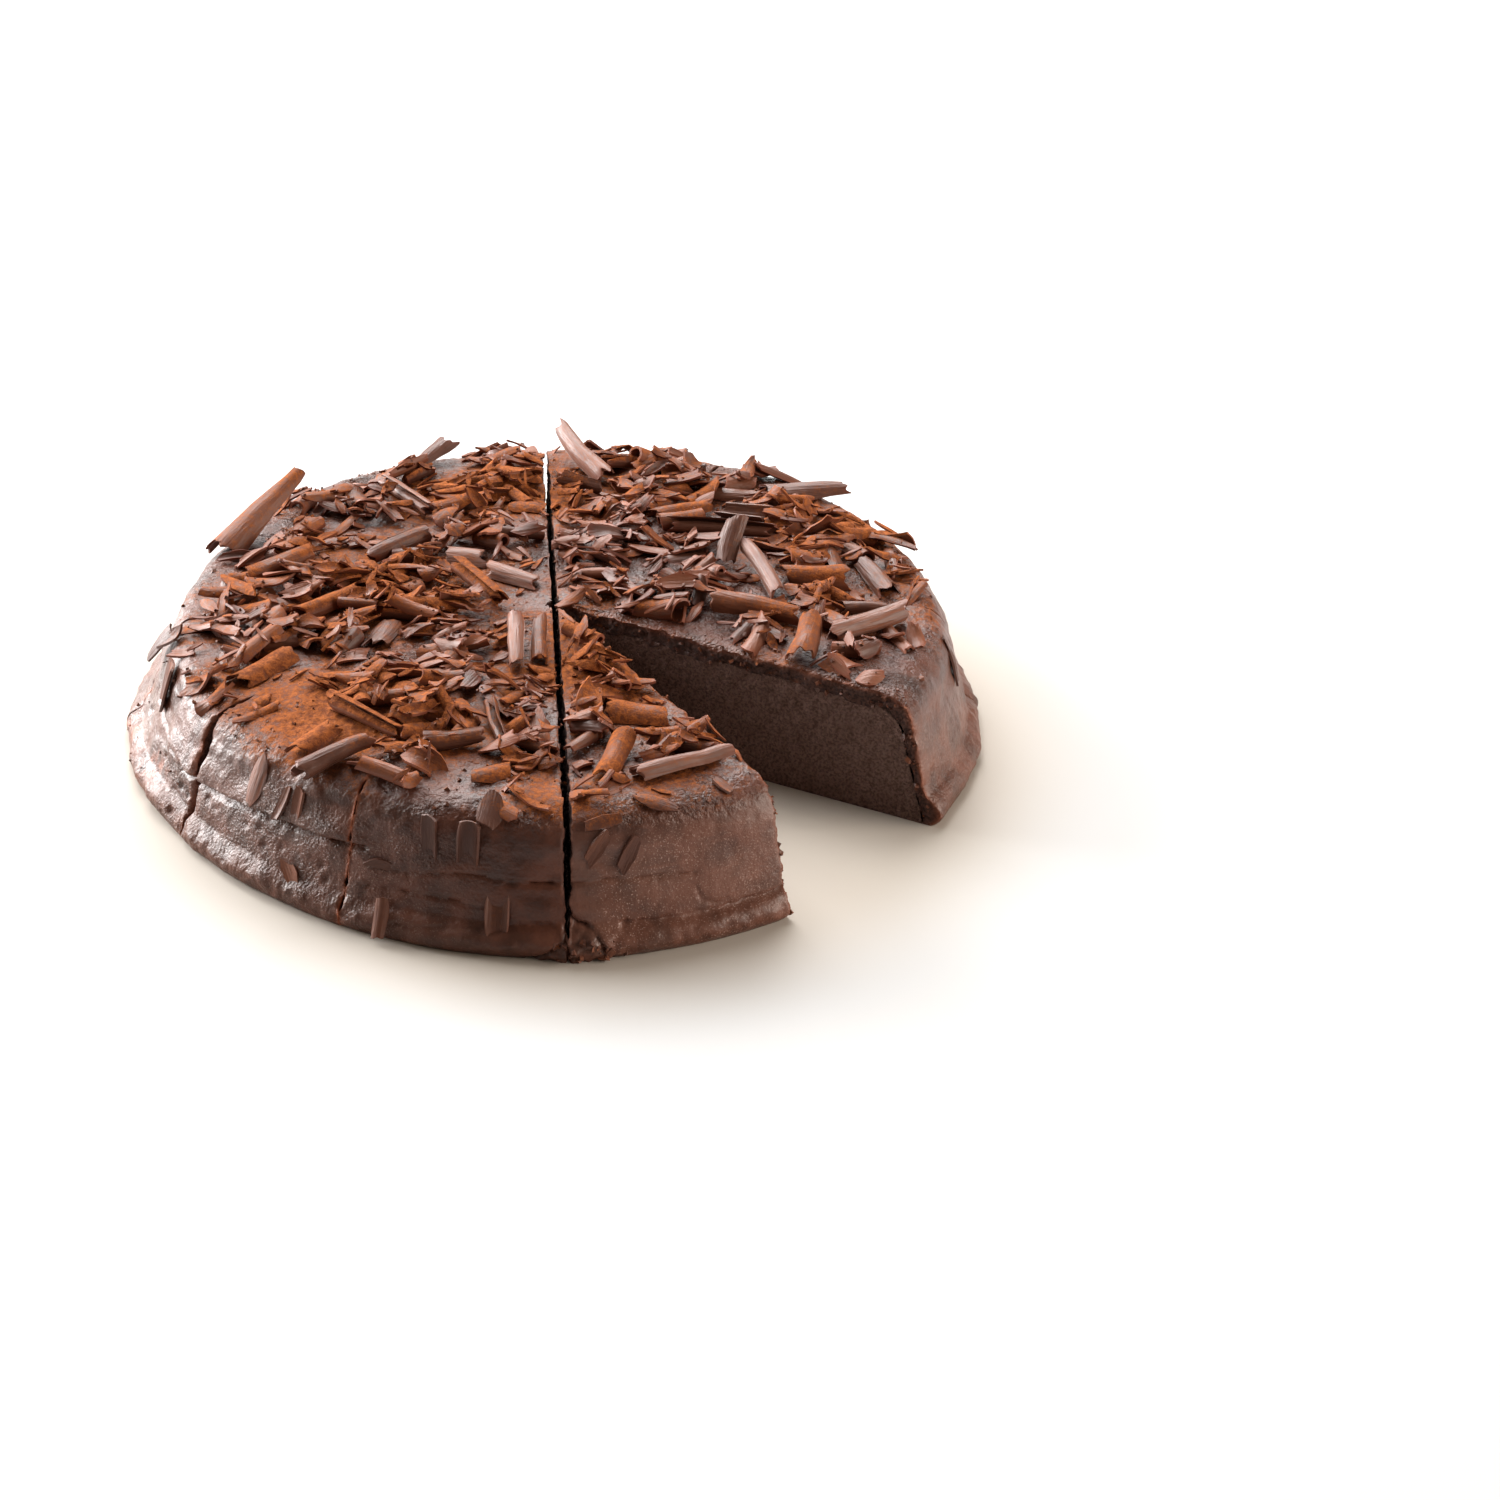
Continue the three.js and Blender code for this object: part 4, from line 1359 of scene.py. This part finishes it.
skin_points = np.concatenate([points_of(coat) for coat in coats])
skin_normals = np.concatenate([[vertex.normal[:] for vertex in coat.data.vertices] for coat in coats])
skin_depth = np.concatenate([marked(coat, "depth") for coat in coats])
skin_normals = skin_normals[skin_depth < SKIN_DEPTH]
skin_points = skin_points[skin_depth < SKIN_DEPTH]
skin_bearing = bearing_of(skin_points)


def side_spot(bearing, height):
    """The point of the icing's skin at a bearing and a height, and its normal."""
    turn = np.radians(off_bearing(skin_bearing, bearing))
    nearest = np.argmin((turn * RADIUS) ** 2 + (skin_points[:, 2] - height) ** 2)
    return skin_points[nearest], skin_normals[nearest]


def side_flake(bearing, height, length, width, roll, lean, pointed, tone, off):
    """One flake that sticks to the side, with its back turned out if its roll is negative."""
    sizes = {"length": (length * MM,) * 2, "width": (width * MM,) * 2, "roll": (abs(roll),) * 2}
    points, rim = shaving(SIDE_KIND | sizes | {"pointed": (0.8 * pointed, pointed)})
    if roll < 0:
        points[..., 2] = points[..., 2].max() - points[..., 2]
        points[..., 1] *= -1
    spot, normal = side_spot(bearing, height * MM)
    aside = np.cross((0, 0, 1), normal)
    aside /= np.linalg.norm(aside)
    upward = np.cross(normal, aside)
    angle = math.radians(lean)
    length_way = upward * math.cos(angle) + aside * math.sin(angle)
    width_way = np.cross(normal, length_way)
    placed = points @ np.array([length_way, width_way, normal])
    return spot + placed + normal * (off * MM - 0.1 * SIDE_THICKNESS), 0 * rim


rows = SIDE_FLAKES + [(*(lot(*limits) for limits in BACK_LOTS), 0) for number in range(BACK_FLAKES)]
side_sheets = [side_flake(*row) for row in rows]
side_tones = [tone for *measures, tone, off in rows]
joined_sheets("side_flakes", side_sheets, SIDE_KIND["grid"], SIDE_THICKNESS, side_tones)
print(len(rows), "flakes on the side")

# %% [markdown]
# Crumbs are left everywhere that something was cut or shaved. Each is a cube with its corners knocked
# about. Most lie between the shavings, some cling to the rough left side and to the faces of the gap, and
# the largest lie where the icing cracked at the foot of the front cut.

# %% Crumbs
CORNERS = np.array(list(np.ndindex(2, 2, 2))) - 0.5
SIDES = np.array([(0, 1, 3, 2), (4, 6, 7, 5), (0, 4, 5, 1), (2, 3, 7, 6), (0, 2, 6, 4), (1, 5, 7, 3)])
TOP_CRUMBS = 800
SIDE_CRUMBS = 14
FOOT_CRUMBS = 26
CUT_CRUMBS = 160


def crumb(place, size):
    """A rough lump of about the given size."""
    corners = CORNERS * lot(0.5, 1.2, 3) + lot(-0.25, 0.25, (8, 3))
    turn = np.linalg.qr(rng.normal(size=(3, 3)))[0]
    turn[:, 0] *= np.linalg.det(turn)
    return place + size * corners @ turn


def top_place():
    """A free place on the top, at the height of what lies there."""
    spot = random_spot()
    while in_the_way(np.array([[*spot, 0]])):
        spot = random_spot()
    return np.array([*spot, ground.under(np.array([[*spot, 0]]))[0]])


def face_points(number, cut):
    """Points of the icing of one portion on the face of one cut."""
    coat = coats[NUMBERS.index(number)]
    points = points_of(coat)[marked(coat, "torn") > 0.5]
    aside = points[:, 0] * math.sin(cut * STEP) - points[:, 1] * math.cos(cut * STEP)
    return points[np.abs(aside) < 3 * MM]


lumps = [crumb(top_place(), lot(0.4, 1.1) * MM) for number in range(TOP_CRUMBS)]
for number in range(SIDE_CRUMBS):
    place = side_spot(lot(176, 208), lot(2, 14) * MM)[0]
    lumps.append(crumb(place, lot(0.4, 0.8) * MM))
for number in range(FOOT_CRUMBS):
    place = side_spot(rng.normal(CRACKED_BEARING + 1, 2.4), lot(0.3, 7) * MM)[0]
    lumps.append(crumb(place, lot(0.6, 1.8) * MM))
open_faces = [(GAP_PORTION - 1, GAP_PORTION), (GAP_PORTION + 1, GAP_PORTION + 1)]
cut_places = np.concatenate([face_points(*face) for face in open_faces])
for place in rng.choice(cut_places, CUT_CRUMBS):
    lumps.append(crumb(place, lot(0.4, 1.3) * MM))
lumps = np.array(lumps)
lumps[..., 2] = np.maximum(0, lumps[..., 2])
crumbs = joined("crumbs", lumps, SIDES)
tones = lot(0, 0.8, len(lumps))
lucks = lot(*DUST_LUCK, len(lumps))
mark_shavings(crumbs, tones, lucks, np.zeros(lumps.size // 3), lumps.reshape(-1, 3))
dress(crumbs, CHOCOLATE, "chocolate")
print(len(lumps), "crumbs")

# %% [markdown]
# The floor is a plain pale sheet, with a painted warm shade close round the cake, for the light bounced off
# it into its shadow. The light is soft and mostly from behind on the left, and the camera stands where the
# picture was taken from. Turning the camera a little puts the cake left of the middle.

# %% Floor and light
bpy.ops.object.select_all(action="DESELECT")
bpy.ops.mesh.primitive_plane_add(size=8, location=(0, 0, 0))
floor = bpy.context.object
floor.name = "floor"
paper = Finish("pale_floor")
away = paper.node("ShaderNodeVectorMath", {"operation": "LENGTH"}, {0: paper.where}, "Value")
plain = paper.blend(paper.noise(0.3), (0.43, 0.43, 0.43, 1), (0.45, 0.45, 0.45, 1))
# Painted shade: close round the cake the floor is a little darker and warmer, for its shadow lit by light
# bounced off the cake.
near = paper.between(away, 0.17, 0.12)
paper.set(base_color=paper.blend(near, plain, (0.435, 0.393, 0.345, 1)), roughness=0.9)
floor.data.materials.append(paper.material)

world = bpy.data.worlds.new("studio")
bpy.context.scene.world = world
world.use_nodes = True
world.node_tree.nodes["Background"].inputs["Color"].default_value = (1, 0.84, 0.69, 1)
world.node_tree.nodes["Background"].inputs["Strength"].default_value = 0.19


def soft_light(name, place, size, power, tint=(1, 1, 1)):
    """A square lamp at a place, turned to the cake."""
    bpy.ops.object.light_add(type="AREA", location=place)
    lamp = bpy.context.object
    lamp.name = name
    lamp.data.size = size
    lamp.data.energy = power
    lamp.data.color = tint
    lamp.rotation_mode = "QUATERNION"
    lamp.rotation_quaternion = (-Vector(place)).to_track_quat("-Z", "Y")


WARM = (1, 0.9, 0.8)
soft_light("window_left", (-1.3, 0.82, 0.42), 1.0, 90)
soft_light("ceiling_behind", (-0.25, 1.05, 1.2), 1.4, 66)
soft_light("window_behind", (0.2, 1.35, 0.8), 0.7, 8)
soft_light("fill_left", (-1.5, -0.1, 0.5), 0.8, 4, WARM)
soft_light("fill_right", (1.4, -0.3, 0.4), 0.9, 31, WARM)

# %% Camera
FRAME_PIXELS = 1500
FOCAL_PIXELS = 4242
BASE_PIXEL = (554.7, 723.7)
EYE = Vector((-0.0313, -1.0759, 0.6356))

bpy.ops.object.camera_add(location=EYE)
camera = bpy.context.object
camera.data.sensor_width = 36
camera.data.lens = FOCAL_PIXELS / FRAME_PIXELS * camera.data.sensor_width
half = FRAME_PIXELS / 2
to_base = Vector(((BASE_PIXEL[0] - half) / FOCAL_PIXELS, (half - BASE_PIXEL[1]) / FOCAL_PIXELS, -1))
straight = (-EYE).to_track_quat("-Z", "Y")
camera.rotation_mode = "QUATERNION"
camera.rotation_quaternion = straight @ to_base.rotation_difference(Vector((0, 0, -1)))
bpy.context.scene.camera = camera
bpy.context.scene.view_settings.view_transform = "Standard"
